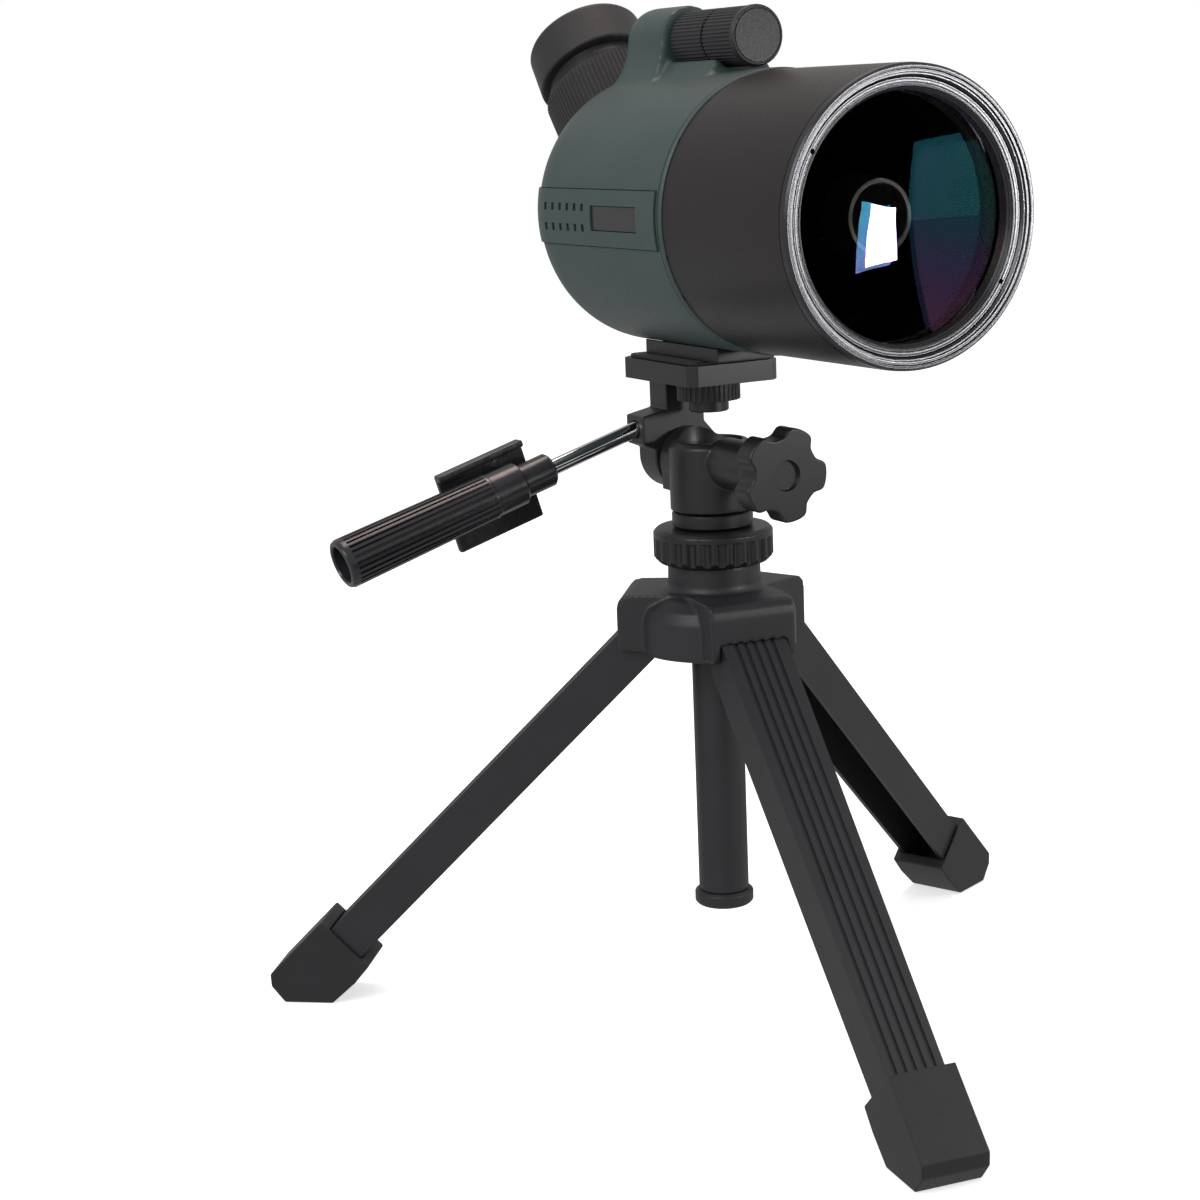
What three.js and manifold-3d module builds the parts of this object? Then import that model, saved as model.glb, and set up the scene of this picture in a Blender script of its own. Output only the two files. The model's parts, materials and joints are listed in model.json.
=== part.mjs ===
// Spotting scope on a folding table-top tripod, in millimetres, +Z up.
// The barrel points along -Y. Everything is laid out from the tripod's axis (x = y = 0) and the floor
// (z = 0), and the finished group is then moved so that its origin is the middle of its base.
import * as THREE from 'three';
import { mergeVertices } from 'three/addons/utils/BufferGeometryUtils.js';
import Module from 'manifold-3d';

const wasm = await Module();
wasm.setup();

// ---- clearances ----
const detail = 0.52;       // share of the facets asked for that a turned piece is given
const gap = 0.3;            // between neighbours that rest on or fit round each other
const running = 0.4;        // between pieces that turn or slide on each other

// ---- driving dimensions: scope ----
const barrelRadius = 48.2;
const barrelWall = 2.3;
const frontFace = -129.5;   // y of the bezel's front
const seam = -54;           // y where the black barrel meets the body
const bodyStep = 0.6;       // the body stands proud of the barrel by this
const bodyRadius = barrelRadius + bodyStep;
const bodyWall = 2.6;
const domeStart = 29;       // y where the round rear begins
const domeLength = 33;
const apertureRim = 8.7;    // from the barrel's outside to the clear aperture
const clearAperture = 2 * (barrelRadius - apertureRim);
const eyepieceAngle = THREE.MathUtils.degToRad(50);
const prismCentre = 34;     // y where the eyepiece's axis meets the optical axis
const neckSunk = 9;         // the zoom ring starts this much below the body's radius
const zoomRingStart = bodyRadius - neckSunk; // along the eyepiece's axis, from the prism's centre
const zoomRingLength = 17.2;
const zoomRingWall = 4.1;
const cupLength = 17.4;
const cupWall = 4.8;
const tubeBore = 14;
const tubeRadius = 19;      // eyepiece tube, outside
const upperRadius = tubeRadius - 1;           // the tube where the eyecup slides on it
const zoomRingRadius = tubeRadius + running + zoomRingWall;
const cupRadius = upperRadius + running + cupWall;
const knobRadius = 10.4;
const knobFront = -40.4;
const knobSplit = -19;      // y between the fine and the coarse ring
const lipFace = 4;          // y of the hump's front lip
const humpRadius = knobRadius + 1.8;

// ---- driving dimensions: head ----
const plateTop = 250.3;
const plateThickness = 7.9;
const plateHalfWidth = 19;
const plateFront = -20;
const plateRear = 31.4;
const padThickness = 1.2;
const footHeight = 4;       // of the scope's foot, under the body
const axisHeight = plateTop + padThickness + footHeight + bodyRadius; // optical axis above the floor
const pivotHeight = 213;
const headRadius = 15.5;
const headTop = 220.5;
const headBottom = 194.8;
const bossRadius = 12.4;
const tiltHubRadius = 9.3;
const bossEnd = 17;         // y of the boss's rear face
const armThickness = 12.8;
const armHalfWidth = 8.2;
const starRadius = 17;
const starFace = -52;
const starThickness = 9.5;
const wheelRadius = 11.7;
const handleSlope = THREE.MathUtils.degToRad(16.6);
const rodRadius = 3;
const rodLength = 40;
const collarLength = 13;
const gripLength = 75;

// ---- driving dimensions: tripod ----
const columnRadius = 9.5;
const columnBottom = 41;
const columnTop = 189;
const colletWall = 1.9;
const colletRadius = columnRadius + running + colletWall;
const neckRadius = colletRadius + gap + 1.4;  // the crown's neck, inside the lock ring
const hubRadius = neckRadius + 3.3;
const crownTop = 165;
const crownBottom = 142;
const lockRadius = hubRadius + 5.5;
const lockBottom = 175.3;
const lockTop = 188;
const legAngle = THREE.MathUtils.degToRad(45);
const legAzimuths = { front: -97.5, right: 22.5, left: 142.5 };
const hingeReach = hubRadius + 8.2;           // the leg pin, out from the column's axis
const crownReach = hingeReach + 10;
const hingeHeight = 151;
const legDepth = 16;
const legWall = 2;
const legTopWidth = 25.6;
const legFootWidth = 21;
const legStart = -6;        // along the leg, from its pin
const legEnd = 200;
const legHeel = -7.2;       // the heel's underside, off the pin's axis
const legFace = 6.2;        // the leg's outer face, off the pin's axis
const pinRadius = 2;
const soleDrop = 13.963;    // the sole, below the end of the leg's outer face

// ---- materials ----
const paint = (color, roughness, metalness = 0) =>
  new THREE.MeshStandardMaterial({ color, roughness, metalness });
const finishes = {
  green: paint(0x46534f, 0.55),
  barrelBlack: paint(0x2a292b, 0.4),
  plastic: paint(0x323236, 0.5),
  gloss: paint(0x1c1c1f, 0.2),
  rubber: paint(0x2b2b2e, 0.8),
  steel: paint(0xc9cbce, 0.15, 1),
  darkMetal: paint(0x3a3a3d, 0.4, 0.6),
  brass: paint(0xb39554, 0.35, 1),
  glass: paint(0x6f7f9a, 0.05),
  mirror: paint(0xdfe3e6, 0.05, 1),
};

// ---- solids ----
// Every geometry becomes a closed solid whose faces point outwards.
function solid(geometry) {
  let g = geometry.index ? geometry.toNonIndexed() : geometry.clone();
  g.deleteAttribute('normal');
  g.deleteAttribute('uv');
  g = mergeVertices(g, 1e-4);
  const p = g.attributes.position.array;
  const tris = [];
  let volume = 0;
  for (let i = 0; i < g.index.count; i += 3) {
    const [a, b, c] = [0, 1, 2].map((k) => g.index.array[i + k]);
    if (a === b || b === c || c === a) continue;
    tris.push(a, b, c);
    const [u, v, w] = [a, b, c].map((k) => new THREE.Vector3(p[3 * k], p[3 * k + 1], p[3 * k + 2]));
    volume += u.dot(v.cross(w));
  }
  if (volume < 0) {
    for (let i = 0; i < tris.length; i += 3) [tris[i], tris[i + 1]] = [tris[i + 1], tris[i]];
  }
  const mesh = new wasm.Mesh({
    numProp: 3, vertProperties: new Float32Array(p), triVerts: new Uint32Array(tris),
  });
  return new wasm.Manifold(mesh);
}

function geometryOf(shape) {
  const mesh = shape.getMesh();
  const g = new THREE.BufferGeometry();
  g.setAttribute('position', new THREE.BufferAttribute(new Float32Array(mesh.vertProperties), 3));
  g.setIndex(new THREE.BufferAttribute(new Uint32Array(mesh.triVerts), 1));
  return g;
}

const add = (...shapes) => shapes.reduce((a, b) => a.add(b));
const cut = (shape, ...tools) => tools.reduce((a, b) => a.subtract(b), shape);

// A box between two corners.
function box([x0, y0, z0], [x1, y1, z1]) {
  const g = new THREE.BoxGeometry(x1 - x0, y1 - y0, z1 - z0);
  return solid(g.translate((x0 + x1) / 2, (y0 + y1) / 2, (z0 + z1) / 2));
}

// A turned piece about Y, from [radius, y] points; closed on itself unless it meets the axis.
function turnedGeometry(points, segments = 48) {
  const list = points.map(([r, y]) => new THREE.Vector2(r, y));
  const open = points[0][0] === 0 && points[points.length - 1][0] === 0;
  if (!open) list.push(list[0].clone());
  return new THREE.LatheGeometry(list, Math.round(segments * detail));
}
const turned = (points, segments) => solid(turnedGeometry(points, segments));
const turnedUp = (points, segments) => solid(turnedGeometry(points, segments).rotateX(Math.PI / 2));
const rod = (radius, y0, y1, segments = 32) =>
  turned([[0, y0], [radius, y0], [radius, y1], [0, y1]], segments);
const rodUp = (radius, z0, z1, segments = 32) =>
  turnedUp([[0, z0], [radius, z0], [radius, z1], [0, z1]], segments);
const sleeve = (outer, inner, y0, y1, segments) =>
  turned([[inner, y0], [outer, y0], [outer, y1], [inner, y1]], segments);
const sleeveUp = (outer, inner, z0, z1, segments) =>
  turnedUp([[inner, z0], [outer, z0], [outer, z1], [inner, z1]], segments);

// An outline of [a, b] points, or a Shape, extruded by depth along +Z.
function extrude(outline, depth, curveSegments = 8) {
  const shape = outline instanceof THREE.Shape
    ? outline : new THREE.Shape(outline.map(([a, b]) => new THREE.Vector2(a, b)));
  return new THREE.ExtrudeGeometry(shape, { depth, bevelEnabled: false, curveSegments });
}
// An outline in (y, z) extruded along x between two values.
const alongX = (outline, x0, x1) =>
  solid(extrude(outline, x1 - x0).rotateX(Math.PI / 2).rotateZ(Math.PI / 2).translate(x0, 0, 0));
// An outline in (x, z) extruded along y between two values.
const alongY = (outline, y0, y1, curveSegments) =>
  solid(extrude(outline, y1 - y0, curveSegments).rotateX(Math.PI / 2).translate(0, y1, 0));

// A round outline whose radius is a function of the angle.
function wavy(radiusAt, points) {
  return Array.from({ length: points }, (_, i) => {
    const a = (2 * Math.PI * i) / points;
    return [radiusAt(a) * Math.cos(a), radiusAt(a) * Math.sin(a)];
  });
}
// Ribs: square teeth of a given depth, two points to a tooth and two to a gap.
function toothed(radius, depth, teeth) {
  return Array.from({ length: teeth * 4 }, (_, i) => {
    const a = (2 * Math.PI * (Math.floor(i / 2) + (i % 2 ? 0.42 : 0.08))) / (teeth * 2);
    const r = i % 4 < 2 ? radius : radius - depth;
    return [r * Math.cos(a), r * Math.sin(a)];
  });
}
const extrudeUp = (outline, z0, z1) => solid(extrude(outline, z1 - z0).translate(0, 0, z0));

// ---- scene graph ----
const object = new THREE.Group();
const tripod = new THREE.Group();
const head = new THREE.Group();
const scope = new THREE.Group();
scope.position.z = axisHeight;
const eyepiece = new THREE.Group();
eyepiece.position.y = prismCentre;
eyepiece.rotation.x = eyepieceAngle;
scope.add(eyepiece);
object.add(tripod, head, scope);

function piece(parent, name, shape, material) {
  const mesh = new THREE.Mesh(geometryOf(shape), material);
  mesh.name = name;
  parent.add(mesh);
  return mesh;
}

// ---- tripod: legs ----
// The leg is drawn in its own frame: X across, Y down along it, Z out of its ribbed face.
function legTaper(start, end, inset) {
  const half = (along) => {
    const share = along / legEnd;
    return (legTopWidth + (legFootWidth - legTopWidth) * share) / 2 - inset;
  };
  return [[-half(start), start], [half(start), start], [half(end), end], [-half(end), end]];
}
const legBlock = (start, end, inset, low, high) =>
  solid(extrude(legTaper(start, end, inset), high - low).translate(0, 0, low));

function legChannel() {
  const grooveDepth = 0.7;
  const grooveWidth = 1.5;
  const grooves = 5;
  const outer = legBlock(legStart, legEnd, 0, legFace - legDepth, legFace);
  const hollow = legBlock(legStart - 1, legEnd - 4, legWall, legFace - legDepth - 1, legFace - legWall);
  const pin = solid(new THREE.CylinderGeometry(pinRadius + running, pinRadius + running, 40, 20)
    .rotateZ(Math.PI / 2));
  const pitch = (legFootWidth - 3) / grooves;
  const tools = Array.from({ length: grooves }, (_, i) => {
    const x = (i - (grooves - 1) / 2) * pitch;
    return box([x - grooveWidth / 2, 4, legFace - grooveDepth], [x + grooveWidth / 2, legEnd + 1, legFace + 1]);
  });
  // the inner heel is cut away and the outer corner is rounded about the pin, so that the leg folds
  // under the hood
  const heel = box([-20, legStart - 1, legFace - legDepth - 1], [20, 1, legHeel]);
  const round = solid(new THREE.CylinderGeometry(legFace, legFace, 60, 48).rotateZ(Math.PI / 2));
  const corner = cut(box([-20, legStart - 1, 0], [20, 0, legFace + 1]), round);
  return cut(outer, hollow, pin, heel, corner, ...tools);
}

// The rubber boot: a wedge whose sole lies on the floor.
function legFoot() {
  // [outwards, up] from the end of the leg's outer face
  const toLeg = ([dr, dz]) => [
    legEnd + dr * Math.sin(legAngle) - dz * Math.cos(legAngle),
    legFace + dr * Math.cos(legAngle) + dz * Math.sin(legAngle),
  ];
  const outline = [[-12.607, 19.637], [9.593, -2.563], [9.393, -7.463], [4.193, -soleDrop],
    [-15.307, -soleDrop], [-24.807, -5.563], [-30.807, 1.437]];
  const halfWidth = legFootWidth / 2 + 1.9;
  const points = outline.map(toLeg);
  // drawn in (along, out) and extruded across
  const boot = solid(extrude(points, halfWidth * 2).translate(0, 0, -halfWidth)
    .applyMatrix4(new THREE.Matrix4().makeBasis(
      new THREE.Vector3(0, 1, 0), new THREE.Vector3(0, 0, 1), new THREE.Vector3(1, 0, 0))));
  const pocket = legBlock(legEnd - 50, legEnd + gap, -gap, legFace - legDepth - gap, legFace + gap);
  return cut(boot, pocket);
}

const pins = [];
for (const [side, azimuth] of Object.entries(legAzimuths)) {
  const yoke = new THREE.Group();
  yoke.rotation.z = THREE.MathUtils.degToRad(azimuth);
  const leg = new THREE.Group();
  leg.position.set(hingeReach, 0, hingeHeight);
  // X across = tangent, Y along = outwards and down, Z = outwards and up
  const along = new THREE.Vector3(Math.sin(legAngle), 0, -Math.cos(legAngle));
  const out = new THREE.Vector3(Math.cos(legAngle), 0, Math.sin(legAngle));
  leg.quaternion.setFromRotationMatrix(
    new THREE.Matrix4().makeBasis(along.clone().cross(out), along, out));
  yoke.add(leg);
  tripod.add(yoke);
  piece(leg, `leg_channel_${side}`, legChannel(), finishes.plastic);
  piece(leg, `leg_foot_${side}`, legFoot(), finishes.rubber);
  pins.push([side, yoke]);
}

// ---- tripod: crown ----
const cheekInside = legTopWidth / 2 + running;
const cheekOutside = cheekInside + 3.4;
const pinSkin = 0.9;        // the cheeks' outer faces are closed over the pins
const innerWall = columnRadius + 3.3;         // the hub's skin inside a yoke
const hoodUnderside = crownTop - 4;

function crown() {
  const neckTop = 183;
  const bore = columnRadius + running;
  const collarEnd = lockBottom - running;
  let body = turnedUp([[0, crownBottom], [hingeReach, crownBottom], [hingeReach + 2, crownBottom + 2],
    [hingeReach + 2, 155], [hingeReach + 0.5, 159], [hingeReach - 3, 162.5], [hingeReach - 7, 164.5], [hubRadius, 167], [hubRadius, collarEnd],
    [neckRadius, collarEnd], [neckRadius, neckTop], [0, neckTop]], 48);
  const faceAt = (r) => {
    // the leg's outer face as a line in (r, z), lifted by the clearance
    const c = (hingeReach * Math.cos(legAngle) + hingeHeight * Math.sin(legAngle)) + legFace + running;
    return (c - r * Math.cos(legAngle)) / Math.sin(legAngle);
  };
  const faceReach = hingeReach + hingeHeight - hoodUnderside + (legFace + running) * Math.SQRT2;
  for (const azimuth of Object.values(legAzimuths)) {
    const turn = (shape) => shape.rotate([0, 0, azimuth]);
    const round = 5;
    const hood = new THREE.Shape();
    hood.moveTo(8, crownBottom);
    hood.lineTo(crownReach, crownBottom + 2);
    hood.lineTo(crownReach, crownTop - round);
    hood.quadraticCurveTo(crownReach, crownTop, crownReach - round, crownTop);
    hood.lineTo(8, crownTop);
    const across = (outline, half) => solid(extrude(outline, 2 * half, 4).rotateX(Math.PI / 2)
      .translate(0, half, 0));
    body = add(body, turn(across(hood, cheekOutside)));
    const sweep = [[innerWall, crownBottom - 5], [innerWall, hoodUnderside], [faceReach, hoodUnderside],
      [crownReach + 5, faceAt(crownReach + 5)], [crownReach + 5, crownBottom - 5]];
    body = cut(body, turn(across(sweep, cheekInside)));
    const hole = new THREE.CylinderGeometry(pinRadius + gap, pinRadius + gap, 2 * (cheekOutside - pinSkin), 20)
      .translate(hingeReach, 0, hingeHeight);
    body = cut(body, turn(solid(hole)));
  }
  const colletSeat = rodUp(colletRadius + gap, 163, neckTop + 1, 40);
  return cut(body, rodUp(bore, crownBottom - 1, neckTop + 1, 40), colletSeat);
}
piece(tripod, 'crown', crown(), finishes.plastic);
for (const [side, yoke] of pins) {
  const pin = new THREE.CylinderGeometry(pinRadius, pinRadius, 2 * (cheekOutside - pinSkin - gap), 20)
    .translate(hingeReach, 0, hingeHeight);
  piece(yoke, `leg_pin_${side}`, solid(pin), finishes.steel);
}
piece(tripod, 'column_collet', cut(
  sleeveUp(colletRadius, columnRadius + running, 163.4, 182.6, 40),
  box([-0.8, columnRadius - 1.5, 168], [0.8, colletRadius + 2.2, 190])), finishes.gloss);

function lockRing() {
  const grips = 24;
  const outline = wavy((a) => lockRadius - 0.55 + 0.55 * Math.cos(grips * a), grips * 4);
  const rim = turnedUp([[0, lockBottom], [lockRadius - 2, lockBottom], [lockRadius, lockBottom + 2],
    [lockRadius, lockTop - 1.5], [lockRadius - 1.5, lockTop], [0, lockTop]], 48);
  const body = extrudeUp(outline, lockBottom, lockTop).intersect(rim);
  return cut(body, rodUp(neckRadius + running, lockBottom - 1, 183.4, 40),
    rodUp(columnRadius + running, lockBottom, lockTop + 1, 40));
}
piece(tripod, 'column_lock_ring', lockRing(), finishes.plastic);

// ---- tripod: column ----
const columnWall = 1.6;
const capRadius = columnRadius + 1.7;
piece(tripod, 'column_tube', sleeveUp(columnRadius, columnRadius - columnWall, columnBottom + 6, columnTop, 40),
  finishes.plastic);
piece(tripod, 'column_end_cap', turnedUp([[0, columnBottom], [capRadius - 1, columnBottom],
  [capRadius, columnBottom + 1], [capRadius, columnBottom + 4.6], [capRadius - 1.2, columnBottom + 5.7], [columnRadius - columnWall - gap, columnBottom + 5.7],
  [columnRadius - columnWall - gap, columnBottom + 14], [0, columnBottom + 14]], 40), finishes.plastic);
const baseRadius = columnRadius + 5.6;
piece(tripod, 'head_base', add(
  cut(turnedUp([[0, lockTop + gap], [baseRadius - 0.8, lockTop + gap], [baseRadius, lockTop + 1.1],
    [baseRadius, headBottom - 0.8], [0, headBottom - 0.8]], 40),
  sleeveUp(columnRadius + gap, columnRadius - columnWall - gap, lockTop - 1, columnTop + gap, 40)),
rodUp(columnRadius - columnWall - gap, 178, 190, 32),
rodUp(6, 190, headBottom + 5, 32)), finishes.darkMetal);

// ---- head ----
function headBody() {
  const barrel = turnedUp([[0, headBottom], [headRadius, headBottom], [headRadius, headTop - 2.2],
    [headRadius - 2.2, headTop], [0, headTop]], 44);
  const dish = turnedUp([[0, 217.2], [headRadius - 4, 217.2], [headRadius - 3.4, headTop],
    [headRadius - 3.4, headTop + 8], [0, headTop + 8]], 36);
  const boss = rod(bossRadius, 3, bossEnd, 40).translate([0, 0, pivotHeight - 1.5]);
  const hub = rod(tiltHubRadius, starFace + starThickness + 8, -3, 40).translate([0, 0, pivotHeight]);
  const webHalf = bossRadius - 0.7;
  const web = box([-webHalf, 1, 201], [webHalf, bossEnd - 0.5, pivotHeight - 2.7]);
  return cut(add(barrel, boss, hub, web), dish,
    rodUp(6 + running, headBottom - 1, headBottom + 6, 32),
    rod(3 + running, -60, 60, 24).translate([0, 0, pivotHeight]));
}
piece(head, 'head_body', headBody(), finishes.plastic);
piece(head, 'tilt_bolt', add(
  rod(3, starFace + 3, bossEnd + armThickness - 3, 24),
  rod(5, bossEnd + armThickness - 5.6, bossEnd + armThickness - 2.4, 6)).translate([0, 0, pivotHeight]),
finishes.steel);

// The star knob is an outline whose radius rises and falls five times a turn.
function starKnob() {
  const lobes = 5;
  const waist = 0.115;
  const outline = wavy((a) => {
    const swing = Math.cos(lobes * (a - THREE.MathUtils.degToRad(-6)));
    return starRadius * (1 - waist + waist * Math.tanh(2.2 * swing) / Math.tanh(2.2));
  }, 50);
  const rear = starFace + starThickness;
  const star = alongY(outline, starFace, rear);
  const hub = turned([[0, rear], [11.5, rear], [10, rear + 7.6], [0, rear + 7.6]], 36);
  const dish = rod(5.4, starFace - 1, starFace + 1.6, 32);
  return cut(add(star, hub), dish, rod(3 + gap, starFace + 2.6, rear + 9, 24)).translate([0, 0, pivotHeight]);
}
piece(head, 'tilt_knob', starKnob(), finishes.plastic);

const armFront = bossEnd + gap;
const armRear = armFront + armThickness;
const socketDepth = 16;
const socketReach = 18.4;
const rodOrigin = [-socketReach + socketDepth, (armFront + armRear) / 2, 223.4];
const plateBottom = plateTop - plateThickness;

// Pieces of the handle are drawn along +Y and then laid along its slope, towards -X and down.
const layHandle = (shape) => shape.rotate([0, 0, 90]).rotate([0, -THREE.MathUtils.radToDeg(handleSlope), 0])
  .translate([-socketReach, rodOrigin[1], rodOrigin[2]]);

function tiltBracket() {
  const endRadius = 13.5;
  const outline = new THREE.Shape();
  outline.moveTo(armHalfWidth, plateBottom);
  outline.lineTo(armHalfWidth, pivotHeight + 12);
  outline.lineTo(endRadius, pivotHeight + 6);
  outline.absarc(0, pivotHeight, endRadius, 0, -Math.PI, true);
  outline.lineTo(-endRadius, pivotHeight + 3);
  outline.lineTo(-socketReach, pivotHeight + 5);
  outline.lineTo(-socketReach, pivotHeight + 15.6);
  outline.lineTo(-armHalfWidth, pivotHeight + 17.6);
  outline.lineTo(-armHalfWidth, plateBottom);
  const arm = alongY(outline, armFront, armRear, 14);
  const socket = layHandle(rod(rodRadius + gap, -socketDepth, 4, 20));
  const boltHole = rod(3 + running, 0, 60, 24).translate([0, 0, pivotHeight]);
  const headSeat = rod(5 + running, armRear - 6, armRear + 1, 30).translate([0, 0, pivotHeight]);
  return cut(arm, socket, boltHole, headSeat);
}
piece(head, 'tilt_bracket', tiltBracket(), finishes.plastic);

function chamferedPlate(half, front, rear, chamfer) {
  return [[-half + chamfer, front], [half - chamfer, front], [half, front + chamfer],
    [half, rear - chamfer], [half - chamfer, rear], [-half + chamfer, rear],
    [-half, rear - chamfer], [-half, front + chamfer]];
}
piece(head, 'platform', cut(
  extrudeUp(chamferedPlate(plateHalfWidth, plateFront, plateRear, 3), plateBottom + gap, plateTop),
  rodUp(3.2 + running, plateBottom - 1, plateTop + 1, 24)), finishes.plastic);
const padInset = 2;
piece(head, 'platform_pad', cut(
  extrudeUp(chamferedPlate(plateHalfWidth - padInset, plateFront + padInset, plateRear - padInset, 2),
    plateTop, plateTop + padThickness),
  rodUp(3.2 + running, plateBottom - 1, plateTop + 5, 24)), finishes.rubber);

const wheelTop = plateBottom - 0.8;
const wheelHeight = 6.2;
const wheelNeck = 4.2;
const screwRadius = 3.175;
piece(head, 'mount_screw_wheel', cut(add(
  extrudeUp(toothed(wheelRadius, 0.5, 24), wheelTop - wheelHeight, wheelTop),
  rodUp(7.3, wheelTop - wheelHeight - wheelNeck, wheelTop - wheelHeight, 32)),
rodUp(screwRadius + gap, wheelTop - wheelHeight, wheelTop + 1, 24)), finishes.plastic);
piece(head, 'mount_screw', rodUp(screwRadius, wheelTop - wheelHeight + gap, plateTop + padThickness + 4.6, 24),
  finishes.steel);

// ---- handle ----
piece(head, 'handle_rod', layHandle(rod(rodRadius, -socketDepth + 1, rodLength + 30, 20)), finishes.steel);
const collarStart = rodLength - 2.2;
const collarRadius = 6.3;
const wingBack = 9.6;       // the wing's near face, behind the handle's axis
const wingThickness = 3;
const wingTop = -12.4;      // across the handle, downwards from its axis
const wingFoot = 18.5;
const wingLength = 36;
function handleCollar() {
  const end = collarStart + collarLength;
  const ring = turned([[rodRadius + gap, collarStart], [collarRadius - 0.9, collarStart],
    [collarRadius, collarStart + 1], [collarRadius, end], [rodRadius + gap, end]], 32);
  // in this frame X points down across the handle and Z towards the wing's side
  const start = collarStart + 4;
  const wing = box([wingTop, start, wingBack], [wingFoot, start + wingLength, wingBack + wingThickness]);
  const lip = box([wingTop, start, wingBack - 2.2], [wingTop + 2.6, start + wingLength, wingBack + 1]);
  const bridge = box([-3, start, collarRadius - 2], [3, end - 0.5, wingBack + 1]);
  return add(ring, wing, lip, bridge);
}
const turnWing = (shape) => layHandle(shape.rotate([0, 90, 0]));
function handleGrip() {
  const start = collarStart + collarLength + gap;
  const inner = 8.1;
  const outer = 9.2;
  const end = start + gripLength;
  const body = turned([[rodRadius + gap, start], [inner - 0.8, start], [inner, start + 0.8],
    [inner, start + 13], [outer, end - 2], [outer - 0.9, end], [outer - 2.4, end], [outer - 2.4, end - 12],
    [rodRadius + gap, end - 14]], 36);
  const ribs = 16;
  const grooves = Array.from({ length: ribs }, (_, i) =>
    box([-0.45, start + 13, inner - 0.1], [0.45, end - 3, outer + 1]).rotate([0, (360 * i) / ribs, 0]));
  const flat = wingBack - gap;
  return cut(body, ...grooves, box([-20, start - 1, flat], [20, start + wingLength, flat + 5]));
}
piece(head, 'handle_collar', turnWing(handleCollar()), finishes.gloss);
piece(head, 'handle_grip', turnWing(handleGrip()), finishes.gloss);

// ---- scope: body ----
const bodyBottom = -bodyRadius;
const knobHeight = bodyRadius + knobRadius + 0.6;   // above the optical axis
function domeProfile(radius, length, steps = 7) {
  const points = [];
  for (let i = 0; i <= steps; i++) {
    const a = (Math.PI / 2) * (i / steps);
    points.push([i === steps ? 0 : radius * Math.cos(a), domeStart + length * Math.sin(a)]);
  }
  return points;
}
const bodyForm = (grow) =>
  turned([[0, seam], [bodyRadius + grow, seam], ...domeProfile(bodyRadius + grow, domeLength + grow)], 60);

// The hump over the focus shaft: a rounded ridge whose flanks flare into the body.
function humpOutline(top) {
  const flare = 23;
  const foot = Math.sqrt(bodyRadius ** 2 - flare ** 2) - 2;
  const shape = new THREE.Shape();
  shape.moveTo(-flare, foot);
  shape.quadraticCurveTo(-humpRadius - 1, bodyRadius - 1, -humpRadius, top);
  return { shape, flare, foot };
}
function hump() {
  const { shape, flare, foot } = humpOutline(knobHeight);
  shape.absarc(0, knobHeight, humpRadius, Math.PI, 0, true);
  shape.quadraticCurveTo(humpRadius + 1, bodyRadius - 1, flare, foot);
  const end = 26;
  const ridge = alongY(shape, lipFace, end, 8);
  const half = shape.getPoints(8).filter((p) => p.x >= -1e-6);
  const tail = turnedUp([[0, foot], ...half.map((p) => [Math.max(p.x, 0), p.y]).reverse().slice(0, -1),
    [0, knobHeight + humpRadius]], 40).translate([0, end, 0]);
  return add(ridge, tail);
}
function cradle() {
  const { shape, flare, foot } = humpOutline(bodyRadius + 5);
  shape.lineTo(humpRadius, bodyRadius + 5);
  shape.quadraticCurveTo(humpRadius + 1, bodyRadius - 1, flare, foot);
  const front = knobFront + 6;
  const trough = rod(knobRadius + 0.9, front - 1, lipFace, 40).translate([0, 0, knobHeight]);
  return cut(alongY(shape, front, lipFace + 1, 6), trough);
}
const panelHalf = 9.8;
const panelProud = 0.7;
const panelDepth = 0.9;
const panelFront = seam + 3.4;
function panelBlock(side, grow) {
  const x = side * (bodyRadius - 14);
  return box([Math.min(x, side * 70), panelFront - grow, -panelHalf - grow],
    [Math.max(x, side * 70), 47 + grow, panelHalf + grow]);
}
function bodyShell() {
  const neckWall = 3.2;
  const neck = rod(tubeRadius + gap + neckWall, 12, zoomRingStart - running, 40)
    .rotate([THREE.MathUtils.radToDeg(eyepieceAngle), 0, 0]).translate([0, prismCentre, 0]);
  let outer = add(bodyForm(0), neck, hump(), cradle());
  for (const side of [-1, 1]) {
    outer = cut(outer, panelBlock(side, gap).intersect(
      cut(bodyForm(3), bodyForm(-panelDepth - gap))));
  }
  const inner = bodyRadius - bodyWall;
  const cavity = turned([[0, seam - 1], [inner, seam - 1],
    ...domeProfile(inner, domeLength - bodyWall)], 60);
  const bore = rod(tubeRadius + gap, 12, zoomRingStart + 1, 40)
    .rotate([THREE.MathUtils.radToDeg(eyepieceAngle), 0, 0]).translate([0, prismCentre, 0]);
  const ringRoom = rod(zoomRingRadius + 0.8, zoomRingStart, 100, 40)
    .rotate([THREE.MathUtils.radToDeg(eyepieceAngle), 0, 0]).translate([0, prismCentre, 0]);
  const nutRoom = box([-6.5, 11.5, bodyRadius - 18.8], [6.5, 30, knobHeight + 6.5]);
  const bushHole = rod(5 + gap, lipFace - 1, 12, 28).translate([0, 0, knobHeight]);
  const footScrew = rodUp(screwRadius + 1, bodyBottom - 1, bodyBottom + 8, 24);
  return cut(outer, cavity, bore, ringRoom, nutRoom, bushHole, footScrew);
}
piece(scope, 'body_shell', bodyShell(), finishes.green);

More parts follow.
